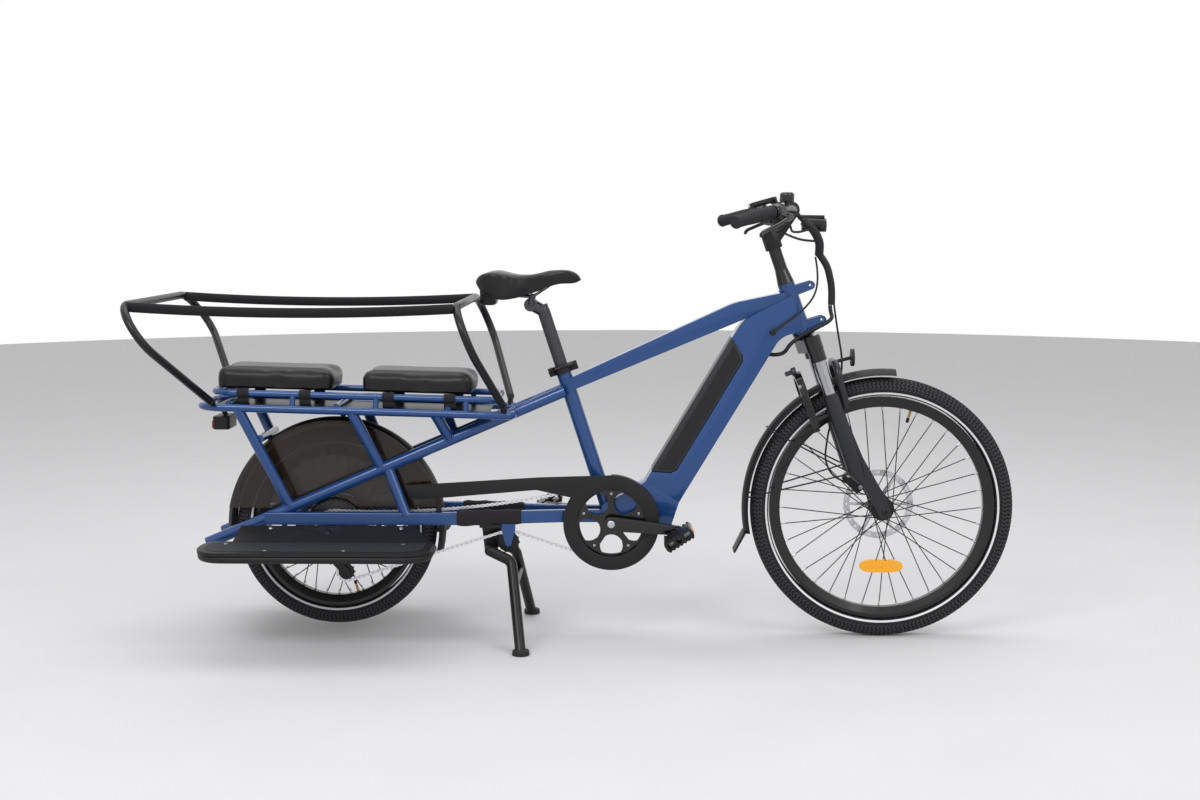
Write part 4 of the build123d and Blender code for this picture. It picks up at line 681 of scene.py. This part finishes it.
# five-armed spider: a disc with five round openings, as an inner and an outer part round them
OPENING_REACH, OPENING_RADIUS, DISC_RADIUS, FIRST_ARM = 0.06, 0.0288, 0.0843, 18.0
neck = sqrt(OPENING_REACH ** 2 - OPENING_RADIUS ** 2)
inner_rows, outer_rows = [], []
for turn in turns(240):
    off = radians((degrees(turn) - FIRST_ARM) % 72 - 36)
    reach = OPENING_RADIUS ** 2 - (OPENING_REACH * sin(off)) ** 2
    near = far = neck
    if reach > 0:
        near = OPENING_REACH * cos(off) - sqrt(reach)
        far = min(DISC_RADIUS - 0.0006, OPENING_REACH * cos(off) + sqrt(reach))
    for rows, low, high in ((inner_rows, 0.018, near), (outer_rows, far, DISC_RADIUS)):
        rows.append([
            ring_point(CRANK, radius, turn, CHAIN_Y + y) for radius, y in (
                (low, -0.0006), (low, -0.0042), (low + 0.0004, -0.0046),
                (high - 0.0004, -0.0046), (high, -0.0042), (high, -0.0006),
            )
        ])
Shape().grid(inner_rows).grid(outer_rows).piece("spider_disc", GLOSS_BLACK, "cranks")
fasteners("chainring_bolts", STEEL, "cranks", [
    (ring_point(CRANK, 0.0735, radians(FIRST_ARM + 72 * k), CHAIN_Y - 0.0046), -LEFT, 0.0036, 0.0016)
    for k in range(5)
])
fasteners("crank_bolts", SILVER, "cranks", [
    (CRANK + LEFT * (side * 0.0828), LEFT * side, 0.0092, 0.003) for side in (-1, 1)
])


# ---- padded pieces
RACK_REAR, RACK_FRONT, RACK_DROP = -0.328, 0.462, 0.022
UPPER_RAIL, LOWER_RAIL = 0.64, 0.603


def rack_level(level, distance):
    """Height of a rack rail this far ahead of the rear axle."""
    return level - RACK_DROP * (distance - RACK_REAR) / (RACK_FRONT - RACK_REAR)


def shape_of(piece):
    """A mesh with the piece's modifiers applied."""
    graph = bpy.context.evaluated_depsgraph_get()
    return bpy.data.meshes.new_from_object(piece.evaluated_get(graph))


def settle(piece, material):
    """Make the piece's modifiers part of its mesh and give it one finish."""
    mesh = shape_of(piece)
    piece.modifiers.clear()
    piece.data = mesh
    mesh.materials.clear()
    mesh.materials.append(material)
    mesh.shade_smooth()


CLOTH_FRAMES, COVER_PRESSURE = 20, 3.0


def stuffed(name, node, body, shrink, cap, voxel, rounds):
    """The node's solid as a stuffed cover: swollen by cloth, at most by cap, and flat where it rests."""
    low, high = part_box(node)
    middle = (low + high) / 2
    mesh = NODES[node].data.copy()
    for vertex in mesh.vertices:
        for axis in range(3):
            vertex.co[axis] = middle[axis] + (vertex.co[axis] - middle[axis]) * shrink[axis]
    piece = linked(name, mesh)
    configure(piece.modifiers.new("even", "REMESH"), mode="VOXEL", voxel_size=voxel)
    even = shape_of(piece)
    piece.modifiers.clear()
    piece.data = even
    rest = np.array([vertex.co for vertex in even.vertices])
    normals = np.array([vertex.normal for vertex in even.vertices])
    cloth = piece.modifiers.new("cover", "CLOTH")
    configure(cloth.settings, use_pressure=True, uniform_pressure_force=COVER_PRESSURE,
              tension_stiffness=25.0, bending_stiffness=1.5)
    cloth.settings.effector_weights.gravity = 0.0
    configure(cloth.point_cache, frame_start=1, frame_end=CLOTH_FRAMES)
    for step in range(1, CLOTH_FRAMES + 1):
        SCENE.frame_set(step)
    swollen = shape_of(piece)
    moved = np.array([vertex.co for vertex in swollen.vertices])
    piece.modifiers.clear()
    SCENE.frame_set(1)
    move = moved - rest
    length = np.linalg.norm(move, axis=1)
    move *= (np.minimum(length, cap) / np.maximum(length, 1e-9))[:, None]
    move[normals[:, 2] < -0.7] = 0.0
    for vertex, place in zip(even.vertices, rest + move):
        vertex.co = place
    configure(piece.modifiers.new("smooth", "SMOOTH"), factor=0.5, iterations=rounds)
    configure(piece.modifiers.new("fine", "SUBSURF"), levels=1, render_levels=1)
    settle(piece, VINYL)
    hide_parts(node)
    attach(piece, body)
    return piece


def piping(shape, piece, centre, first, second, count):
    """A cord all round a piece, in the plane through centre."""
    tree = BVHTree.FromObject(piece, bpy.context.evaluated_depsgraph_get())
    points = []
    for turn in turns(count):
        out = first * cos(turn) + second * sin(turn)
        hit = tree.ray_cast(centre + out * 0.6, -out)
        if hit[0] is not None:
            points.append(hit[0] - out * 0.0004)
    shape.tube(points + points[:2], 0.0011, 8, False)


RACK_AHEAD, RACK_UP = tilted(atan2(-RACK_DROP, RACK_FRONT - RACK_REAR))
for name, node, rear, length in (
    ("rear_pad_cover", "rear_pad", -0.288, 0.3), ("front_pad_cover", "front_pad", 0.079, 0.285),
):
    cover = stuffed(name, node, "frame", (0.99, 0.975, 0.94), 0.0045, 0.005, 14)
    seams = Shape()
    foot = at(rear, 0.0, rack_level(UPPER_RAIL, rear) + 0.0088)
    for share in (0.045, 0.955):
        centre = foot + RACK_AHEAD * (length * share) + RACK_UP * 0.026
        piping(seams, cover, centre, LEFT, RACK_UP, 72)
    centre = foot + RACK_AHEAD * (length / 2) + RACK_UP * 0.009
    piping(seams, cover, centre, RACK_AHEAD, LEFT, 120)
    seams.piece(name + "_piping", VINYL, "frame", 60, "vinyl")

stuffed("saddle_cover", "saddle", "seat", (0.985, 0.97, 0.97), 0.004, 0.0045, 2)

# ---- webbing straps under the pads
straps = Shape()
half = AHEAD * 0.0145
for distance in (-0.214, -0.058, 0.151, 0.305):
    rail = at(distance, 0.0, rack_level(UPPER_RAIL, distance))
    for flip in reversed(SIDES):
        path = [(0.083, 0.0105), (0.0905, 0.0108)]
        for k in range(7):
            turn = radians(70 - 25 * k)
            path.append((0.09 + 0.0105 * cos(turn), 0.0105 * sin(turn)))
        path += [(0.0945, -0.016), (0.093, -0.024), (0.086, -0.03), (0.06, -0.034)]
        rows = []
        for k, (y, z) in enumerate(path):
            before, after = path[max(0, k - 1)], path[min(len(path) - 1, k + 1)]
            run = Vector((0.0, after[0] - before[0], after[1] - before[1])).normalized()
            out = Vector((0.0, -run.z, run.y)) * 0.0008
            middle = rail + Vector((0.0, y, z))
            ring = (middle - half - out, middle + half - out, middle + half + out, middle - half + out)
            rows.append([point * flip for point in ring])
        straps.grid(rows, False, True, True)
straps.piece("pad_straps", WEBBING, "frame", 50)

# ---- welds
SIDE_START, SIDE_END = -0.318, 0.59
SIDE_FRONT = at(SIDE_END, 0.032, 0.636)
SIDE_REAR = at(SIDE_START, 0.08, 0.252)
TUBE_CAST, STAY_CAST = 0.0135, 0.015


def on_side_tube(distance):
    """A place on the left side tube's middle line, this far ahead of the rear axle."""
    return SIDE_REAR + (SIDE_FRONT - SIDE_REAR) * ((distance - SIDE_START) / (SIDE_END - SIDE_START))


def under_rail(distance):
    """A place in the left lower rail, this far ahead of the rear axle."""
    return at(distance, 0.096, rack_level(LOWER_RAIL, distance) - 0.002)


def node_tree(node):
    work = bmesh.new()
    work.from_mesh(NODES[node].data)
    tree = BVHTree.FromBMesh(work)
    work.free()
    return tree


def ripple(bead, index):
    """A bead's radius at one of its points."""
    return bead * (1.0 + 0.16 * (index % 2))


def weld(shape, tree, start, end, radius):
    """A rippled bead where a tube that runs from start to end meets the surfaces in tree."""
    along = (end - start).normalized()
    side = along.cross(Vector((0.1, 1.0, 0.2))).normalized()
    other = along.cross(side)
    points, radii = [], []
    for k, turn in enumerate(turns(56)):
        out = side * cos(turn) + other * sin(turn)
        hit = tree.ray_cast(start + out * (radius + 0.0006), along, (end - start).length + 0.03)
        if hit[0] is not None:
            points.append(hit[0])
            radii.append(ripple(0.002, k))
    if len(points) > 40:
        shape.tube(points + points[:1], radii + radii[:1], 8, False)


SEAM_STEPS, SEAM_SHORTEST = 120, 8


def seam(shape, node, target, middle, along):
    """A rippled bead where a tube of any section meets the surfaces in target."""
    own = node_tree(node)
    other = along.cross(LEFT)
    runs, run = [], []
    for k in range(SEAM_STEPS + 1):
        turn = 2 * pi * k / SEAM_STEPS
        out = LEFT * cos(turn) + other * sin(turn)
        skin, end = own.ray_cast(middle + out * 0.12, -out)[0], None
        if skin is not None:
            end = target.ray_cast(skin + out * 0.0007 - along * 0.02, along, 0.14)[0]
        if end is not None and (not run or (end - run[-1]).length < 0.012):
            run.append(end)
        elif end is not None or len(run) > SEAM_SHORTEST:
            runs.append(run)
            run = []
    for run in runs + [run]:
        if len(run) > SEAM_SHORTEST:
            shape.tube(run, [ripple(0.0022, k) for k in range(len(run))], 8)


beads = Shape()
side_tree, stay_tree, rail_tree = node_tree("side_tubes"), node_tree("lower_stays"), node_tree("rack_rails")
for flip in SIDES:
    for rail_place, tube_place in ((-0.228, -0.106), (0.058, 0.126), (0.268, 0.3)):
        top, foot = under_rail(rail_place) * flip, on_side_tube(tube_place) * flip
        weld(beads, side_tree, top.lerp(foot, 0.4), foot, TUBE_CAST)
        weld(beads, rail_tree, top.lerp(foot, 0.6), top, TUBE_CAST)
    top, foot = on_side_tube(0.14) * flip, at(0.19, 0.08, 0.3225) * flip
    weld(beads, stay_tree, top.lerp(foot, 0.4), foot, TUBE_CAST)
    weld(beads, side_tree, top.lerp(foot, 0.6), top, TUBE_CAST)
    weld(beads, stay_tree, on_side_tube(0.2) * flip, on_side_tube(-0.28) * flip, STAY_CAST)
seat_tree = node_tree("seat_tube")
for flip in SIDES:
    weld(beads, seat_tree, on_side_tube(0.4) * flip, on_side_tube(0.62) * flip, STAY_CAST)
head_tree = node_tree("head_tube")
for node, level in (("down_tube", 0.035), ("top_tube", 0.1)):
    seam(beads, node, head_tree, HEAD_FOOT + STEER_UP * level - STEER_AHEAD * 0.05, STEER_AHEAD.normalized())
beads.piece("weld_beads", BLUE, "frame", 60, "frame_blue")

# ---- footboards
fasteners("footboard_screws", SILVER, "frame", [
    head for side in (-1, 1) for head in [
        ((fore(x), side * y, 0.27), UP, 0.0052, 0.0018)
        for x, y in ((-0.245, 0.182), (-0.13, 0.262), (0.062, 0.262), (0.196, 0.182))
    ] + [
        ((fore(x), side * 0.106, 0.2957), (0, side * 0.5, 0.87), 0.005, 0.0018) for x in (-0.15, 0.18)
    ]
])
BOARD_REAR, BOARD_FRONT, BOARD_INNER, BOARD_OUTER = -0.288, 0.252, 0.163, 0.272
board_top = Shape()
for side in (-1, 1):
    outline = []
    for x, y, start, radius in (
        (BOARD_FRONT - 0.052, BOARD_OUTER - 0.052, 0, 0.052),
        (BOARD_REAR + 0.052, BOARD_OUTER - 0.052, 90, 0.052),
        (BOARD_REAR + 0.01, BOARD_INNER + 0.01, 180, 0.01),
        (BOARD_FRONT - 0.01, BOARD_INNER + 0.01, 270, 0.01),
    ):
        for step in range(8):
            turn = radians(start + 90 * step / 7)
            outline.append((x + radius * cos(turn), side * (y + radius * sin(turn))))
    board_top.slab((fore(0.0), 0.0, 0.2702), AHEAD, LEFT, outline, 0.0016)
board_top.piece("footboard_grip", GRIP_SHEET, "frame")

# ---- sleeves on the lower stays
sleeves = Shape()
for side in (-1, 1):
    rows = []
    for k in range(15):
        share = k / 14
        x = 0.318 + 0.162 * share
        y = 0.08 - 0.046 * (x - 0.3) / 0.3
        swell = 0.0022 + 0.0009 * sin(share * 19.0 + side) + 0.0006 * sin(share * 43.0)
        if k in (0, 14):
            swell = 0.0004
        rows.append([
            at(x, side * y + u, 0.3165 + v) for u, v in rounded(0.0105 + swell, 0.0165 + swell, 0.006)
        ])
    sleeves.grid(rows, False, True, True)
sleeves.piece("stay_sleeves", NEOPRENE, "frame", 50)

# ---- seat post ribs and clamp lever
seat_ahead, seat_up = tilted(pi / 2 - SEAT_ANGLE)
seat_top = CRANK + seat_up * 0.395
ribs = Shape()
for turn in turns(22):
    rib = seat_top + (seat_ahead * cos(turn) + LEFT * sin(turn)) * 0.0154
    ribs.tube([rib - seat_up * 0.09, rib + seat_up * 0.168], 0.0009, 6)
ribs.piece("seat_post_ribs", POST_GREY, "seat", 60)


def by_clamp(up, ahead, y):
    """A place measured from the top of the seat tube."""
    return seat_top + seat_up * up + seat_ahead * ahead + LEFT * y


Shape().button(by_clamp(0.011, -0.032, -0.009), -LEFT, 0.0048, 0.005).tube([
    by_clamp(0.013, 0.034, -0.01), by_clamp(0.016, 0.028, -0.02), by_clamp(0.018, 0.006, -0.028),
    by_clamp(0.017, -0.018, -0.027),
], [0.004, 0.0045, 0.004, 0.0032], 10).piece("seat_clamp_lever", BLACK_PAINT, "frame", 50)

# ---- lamps and display
Shape().slab(at(-0.3085, 0.0, 0.549), LEFT, UP, rounded(0.036, 0.01, 0.006), 0.003).piece(
    "tail_lens", RED_LENS, "frame")
bar_clamp = at(1.157, 0.0, 1.09)
lens_centre = bar_clamp + flat(0.088, -0.038)
Shape().lathe(lens_centre, AHEAD, [
    (-0.001, 0.015), (0.001, 0.015), (0.003, 0.01), (0.0038, 0.0),
], 28).piece("headlight_lens", LENS_GLASS, "steering", 40)
Shape().lathe(lens_centre, AHEAD, [
    (-0.012, 0.0172), (0.0015, 0.0172), (0.0022, 0.0164), (0.0012, 0.015), (-0.012, 0.015),
], 28).piece("headlight_ring", GLOSS_BLACK, "steering")
display_ahead = flat(1.0, 0.28).normalized()
display_up = flat(-0.28, 1.0).normalized()
Shape().slab(
    bar_clamp + flat(-0.068, 0.012) + display_up * 0.0133, display_ahead, LEFT,
    rounded(0.029, 0.04, 0.005), 0.0014,
).piece("display_glass", SCREEN, "steering")

# ---- edges that catch the light
BODY_OF = {node: body for body, nodes in frame["record"]["behaviour"]["bodies"].items() for node in nodes}
SLOT_OF = {part["node"]: part["material_slot"] for part in frame["record"]["subparts"]}


def soften(node, width, material=None):
    """The node's own form with its edges rounded."""
    mesh = NODES[node].data.copy()
    work = bmesh.new()
    work.from_mesh(mesh)
    bmesh.ops.remove_doubles(work, verts=work.verts, dist=0.00003)
    bmesh.ops.dissolve_limit(work, angle_limit=radians(0.6), verts=work.verts, edges=work.edges)
    work.to_mesh(mesh)
    work.free()
    piece = linked(node + "_form", mesh)
    configure(piece.modifiers.new("edges", "BEVEL"), width=width, segments=3, limit_method="ANGLE",
              angle_limit=radians(34))
    settle(piece, material or SLOT_FINISH[SLOT_OF[node]])
    piece.data.set_sharp_from_angle(angle=radians(38))
    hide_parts(node)
    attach(piece, BODY_OF[node])
    return piece


for node, width, material in (
    ("top_tube", 0.006, None), ("down_tube", 0.008, None), ("battery", 0.003, BATTERY_PAINTED_HIGHLIGHT),
    ("chain_case", 0.0008, None), ("crank_arms", 0.003, GLOSS_BLACK), ("chainring", 0.0007, GLOSS_BLACK),
    ("footboards", 0.0015, None), ("stem", 0.003, None), ("fork_lower", 0.004, FORK_BLACK),
    ("wheel_lock", 0.003, GLOSS_BLACK), ("front_caliper", 0.002, None), ("rear_caliper", 0.002, None),
    ("bar_fittings", 0.002, GLOSS_BLACK), ("stand_bracket", 0.002, None), ("seat_clamp", 0.0015, None),
    ("pedal_right", 0.0012, None), ("pedal_left", 0.0012, None), ("derailleur", 0.001, None),
    ("bracket_shell", 0.003, None), ("front_mudguard", 0.0008, None), ("rear_mudguard", 0.0008, None),
):
    soften(node, width, material)
idler_form = soften("chain_idler", 0.0008, BLUE)
idler_form.data.materials.append(BLACK_PLASTIC)
for polygon in idler_form.data.polygons:
    polygon.material_index = int(polygon.center.y > IDLER_PLATE_INSIDE)
for node, material in (
    ("front_reflector", BLACK_PLASTIC), ("cassette", DARK_STEEL), ("fork_upper", GLOSS_BLACK),
    ("rear_axle", DARK_STEEL), ("seat_post", POST_GREY), ("front_rotor", ROTOR_STEEL),
    ("rear_rotor", ROTOR_STEEL),
):
    dress(node, material)


# ---- hose loops between bars and frame
def hose_piece(name, points, diameter):
    """A hose on one smooth curve."""
    data = configure(bpy.data.curves.new(name, "CURVE"), dimensions="3D", bevel_depth=diameter / 2,
                     bevel_resolution=3, use_fill_caps=True, resolution_u=10)
    spline = data.splines.new("NURBS")
    spline.points.add(len(points) - 1)
    for spot, place in zip(spline.points, points):
        spot.co = (*place, 1.0)
    configure(spline, order_u=3, use_endpoint_u=True)
    curve = linked(name + "_line", data)
    mesh = shape_of(curve)
    bpy.data.objects.remove(curve)
    mesh.materials.clear()
    mesh.materials.append(CABLE)
    mesh.shade_smooth()
    piece = linked(name, mesh)
    return piece


BUNDLE = [
    at(1.26, -0.003, 0.8513), at(1.2605, -0.004, 0.836), steer_point(0.082, -0.026, 0.01),
    steer_point(0.03, -0.038, 0.003), steer_point(-0.036, -0.036, -0.008), at(1.14, -0.02, 0.722),
    at(1.1, -0.008, 0.728),
]
SIDE_CABLE = [
    at(1.221, -0.006, 0.9726), at(1.228, -0.015, 0.936), at(1.222, -0.03, 0.88),
    at(1.186, -0.042, 0.838), at(1.14, -0.045, 0.806), at(1.113, -0.045, 0.785),
]
bundle = hose_piece("head_bundle", BUNDLE, 0.01)
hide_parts("head_cables")
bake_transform(bundle)
side_cable = hose_piece("head_side_cable", SIDE_CABLE, 0.005)
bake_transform(side_cable)
Shape().lathe((fore(1.113), -0.039, 0.785), -LEFT, [
    (0.0, 0.0075), (0.003, 0.0078), (0.004, 0.0062), (0.011, 0.0058), (0.0125, 0.0045), (0.0128, 0.0),
], 18).piece("head_side_plug", BLACK_PLASTIC, "frame", 35)

# ---- battery faces
TUBE_FOOT = CRANK + flat(0.172, 0.049)
TUBE_ALONG = (HEAD_FOOT + flat(-0.086, -0.05) - TUBE_FOOT).normalized()
TUBE_ACROSS = flat(-TUBE_ALONG.z, TUBE_ALONG.x)
faces = Shape()
for side in (-1, 1):
    faces.slab(TUBE_FOOT + LEFT * (side * 0.0383), TUBE_ALONG, TUBE_ACROSS, [
        (0.044, 0.0885), (0.0605, 0.06), (0.07, 0.053),
        (0.388, 0.053), (0.3975, 0.06), (0.414, 0.0885),
    ], 0.0012)
faces.piece("battery_faces", BATTERY_FACE, "frame")

# ---- hubs, axle ends, brakes
ROTOR_Y = 0.0472
CALIPER_REACH = 0.062
sprocket(Shape(), FRONT_AXLE, -0.0315, 0.0262, 28, 0.005).lathe(
    FRONT_AXLE - LEFT * 0.0295, -LEFT, [
        (0.0, 0.024), (0.005, 0.0235), (0.006, 0.016), (0.0062, 0.0066), (0.0, 0.0066),
    ], 40,
).piece("front_hub_drum", BLACK_PAINT, "front_wheel")
fasteners("front_axle_ends", BLACK_PAINT, "steering", [
    (FRONT_AXLE + LEFT * (side * 0.0752), LEFT * side, 0.0085, 0.003) for side in (-1, 1)
])
low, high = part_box("rear_axle")
fasteners("rear_axle_ends", DARK_STEEL, "frame", [
    ((REAR_AXLE.x, reach - side * 0.0006, REAR_AXLE.z), LEFT * side, 0.0088, 0.004)
    for side, reach in ((-1, low.y), (1, high.y))
])
for name, axle, body in (
    ("front_rotor_bolts", FRONT_AXLE, "front_wheel"), ("rear_rotor_bolts", REAR_AXLE, "rear_wheel"),
):
    fasteners(name, DARK_STEEL, body, [
        (ring_point(axle, 0.019, radians(60 * k + 30), ROTOR_Y), LEFT, 0.0038, 0.0018) for k in range(6)
    ])
fasteners("motor_screws", DARK_STEEL, "rear_wheel", [
    (ring_point(REAR_AXLE, 0.044, radians(45 * k + 20), side * 0.0328), LEFT * side, 0.003, 0.0014)
    for k in range(8) for side in (-1, 1)
])
fasteners("front_caliper_bolts", SILVER, "steering", [
    (FRONT_AXLE + Vector((x - CALIPER_REACH, y, z + CALIPER_REACH)), LEFT * side, 0.0055, 0.003)
    for x, z in ((-0.017, 0.014), (0.014, -0.017)) for side, y in ((-1, 0.0332), (1, 0.0588))
])

# ---- reflector, lock, grips, pods
Shape().lathe(steer_point(0.096, 0.0, -0.099) + AHEAD * 0.0075, AHEAD, [
    (0.0, 0.0195), (0.0012, 0.0195), (0.002, 0.0175), (0.0022, 0.0),
], 28).piece("front_reflector_face", WHITE_LENS, "steering")
lock_head = steer_point(-0.047, -0.02, -0.084)
Shape().lathe(lock_head, -STEER_AHEAD, [
    (0.0, 0.011), (0.01, 0.011), (0.012, 0.009), (0.012, 0.0),
], 24).slab(
    lock_head - STEER_AHEAD * 0.019, STEER_AHEAD, STEER_UP, rounded(0.01, 0.006, 0.003), 0.0024,
).piece("lock_key", DARK_STEEL, "steering")

BAR_ELBOW = bar_clamp + Vector((-0.038, 0.19, 0.001))
BAR_END = bar_clamp + Vector((-0.155, 0.31, -0.028))
GRIP_LENGTH = 0.138
grip_along = (BAR_END - BAR_ELBOW).normalized()
profile = [(0.0, 0.0112), (0.0, 0.015), (0.002, 0.0166), (0.006, 0.0166), (0.008, 0.015)]
for k in range(24):
    ridge = 0.012 + 0.0046 * k
    swell = 0.0012 * sin(pi * min(1.0, k / 18))
    profile += [(ridge, 0.0144 + swell), (ridge + 0.0012, 0.0152 + swell), (ridge + 0.0034, 0.0152 + swell)]
profile += [(0.128, 0.0148), (0.13, 0.0165), (0.135, 0.0165), (GRIP_LENGTH, 0.015), (0.1385, 0.0)]
handles = Shape()
for flip in SIDES:
    handles.lathe((BAR_END + grip_along * (0.003 - GRIP_LENGTH)) * flip, grip_along * flip, profile, 28)
grip_piece = handles.piece("grip_sleeves", GRIP_RUBBER, "steering", 30, "rubber")
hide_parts("grips")

levers = Shape()
for flip in SIDES:
    along = grip_along * flip
    place = (BAR_END - grip_along * 0.149) * flip
    levers.lathe(place - along * 0.01, along, [
        (0.0, 0.0112), (0.0, 0.0155), (0.002, 0.0166), (0.018, 0.0166), (0.02, 0.0155), (0.02, 0.0112),
    ], 28)
    pivot = place + flat(0.028, -0.016)
    levers.slab((place + pivot) / 2, pivot - place, along, rounded(0.024, 0.013, 0.005), 0.017)
    levers.tube([pivot - along * 0.016, pivot + along * 0.01], [0.0075, 0.0085], 16)
    levers.button(pivot + flat(0, 0.0085), UP, 0.005, 0.002)
    levers.tube([
        pivot + along * reach + flat(x, z) for reach, x, z in (
            (0.0, 0.0, 0.0), (0.016, 0.006, -0.002), (0.04, 0.009, -0.006), (0.072, 0.006, -0.012),
            (0.096, 0.003, -0.017), (0.108, 0.006, -0.021), (0.113, 0.009, -0.024),
        )
    ], [0.0062, 0.0058, 0.005, 0.0047, 0.0046, 0.005, 0.0042], 12)
lever_piece = levers.piece("lever_blades", GLOSS_BLACK, "steering", 35, "black_metal")
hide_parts("brake_levers")

PEDAL_Y = 0.16
pedal_along, pedal_up = tilted(radians(33))
for node, body, side in (("pedal_right", "pedal_right_body", -1), ("pedal_left", "pedal_left_body", 1)):
    low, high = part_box(node)
    middle = Vector(((low[0] + high[0]) / 2, side * PEDAL_Y, (low[2] + high[2]) / 2))
    reflectors, teeth = Shape(), Shape()
    for end in (-1, 1):
        place = middle + pedal_along * end * 0.0394
        reflectors.slab(place, LEFT, pedal_up, rounded(0.022, 0.0065, 0.002), 0.0018)
        for wall in (-0.0425, 0.0425):
            for k in range(-3, 4):
                root = middle + pedal_along * (0.0108 * k) + pedal_up * (end * 0.0116) + LEFT * wall
                teeth.slab(root, pedal_along, pedal_up * end, [
                    (-0.0036, 0.0), (0.0036, 0.0), (0.0018, 0.0028), (-0.0018, 0.0028),
                ], 0.003)
    reflectors.piece(node + "_reflectors", AMBER, body)
    teeth.piece(node + "_teeth", BLACK_PLASTIC, body)

pods = Shape()
for flip in SIDES:
    place = (BAR_END - grip_along * 0.166) * flip + flat(0.006, -0.024)
    pods.slab(place, grip_along * flip, (0.25, 0.0, 1.0), rounded(0.017, 0.013, 0.005), 0.03)
    pods.tube([place + flat(0.004, 0.004), place + flat(0.004, 0.02)], 0.008, 12)
    pods.tube([
        place + Vector(step) * flip for step in (
            (0.012, 0.0, -0.006), (0.002, -0.012, -0.024), (-0.016, -0.016, -0.03),
        )
    ], [0.004, 0.0045, 0.0035], 10)
pods.piece("bar_pods", BLACK_PLASTIC, "steering", 40)

# ---- bolts of the guard, feet of the stand
fasteners("guard_bolts", BLACK_PAINT, "frame", [
    ((fore(x), side * y, z), LEFT * side, radius, 0.003) for side in (-1, 1) for x, y, z, radius in (
        (-0.288, 0.1258, 0.616, 0.0062), (0.441, 0.1258, 0.606, 0.0062), (0.4, 0.0862, 0.232, 0.0075),
    )
])
stand_feet = Shape()
for side in (-1, 1):
    stand_feet.lathe((fore(0.487), side * 0.211, 0.0002), UP, [
        (0.0, 0.0), (0.0, 0.0212), (0.01, 0.0212), (0.0125, 0.0195), (0.0125, 0.0),
    ], 30)
stand_feet.piece("stand_feet", GRIP_RUBBER, "stand")

SCENE.view_settings.view_transform = "Standard"
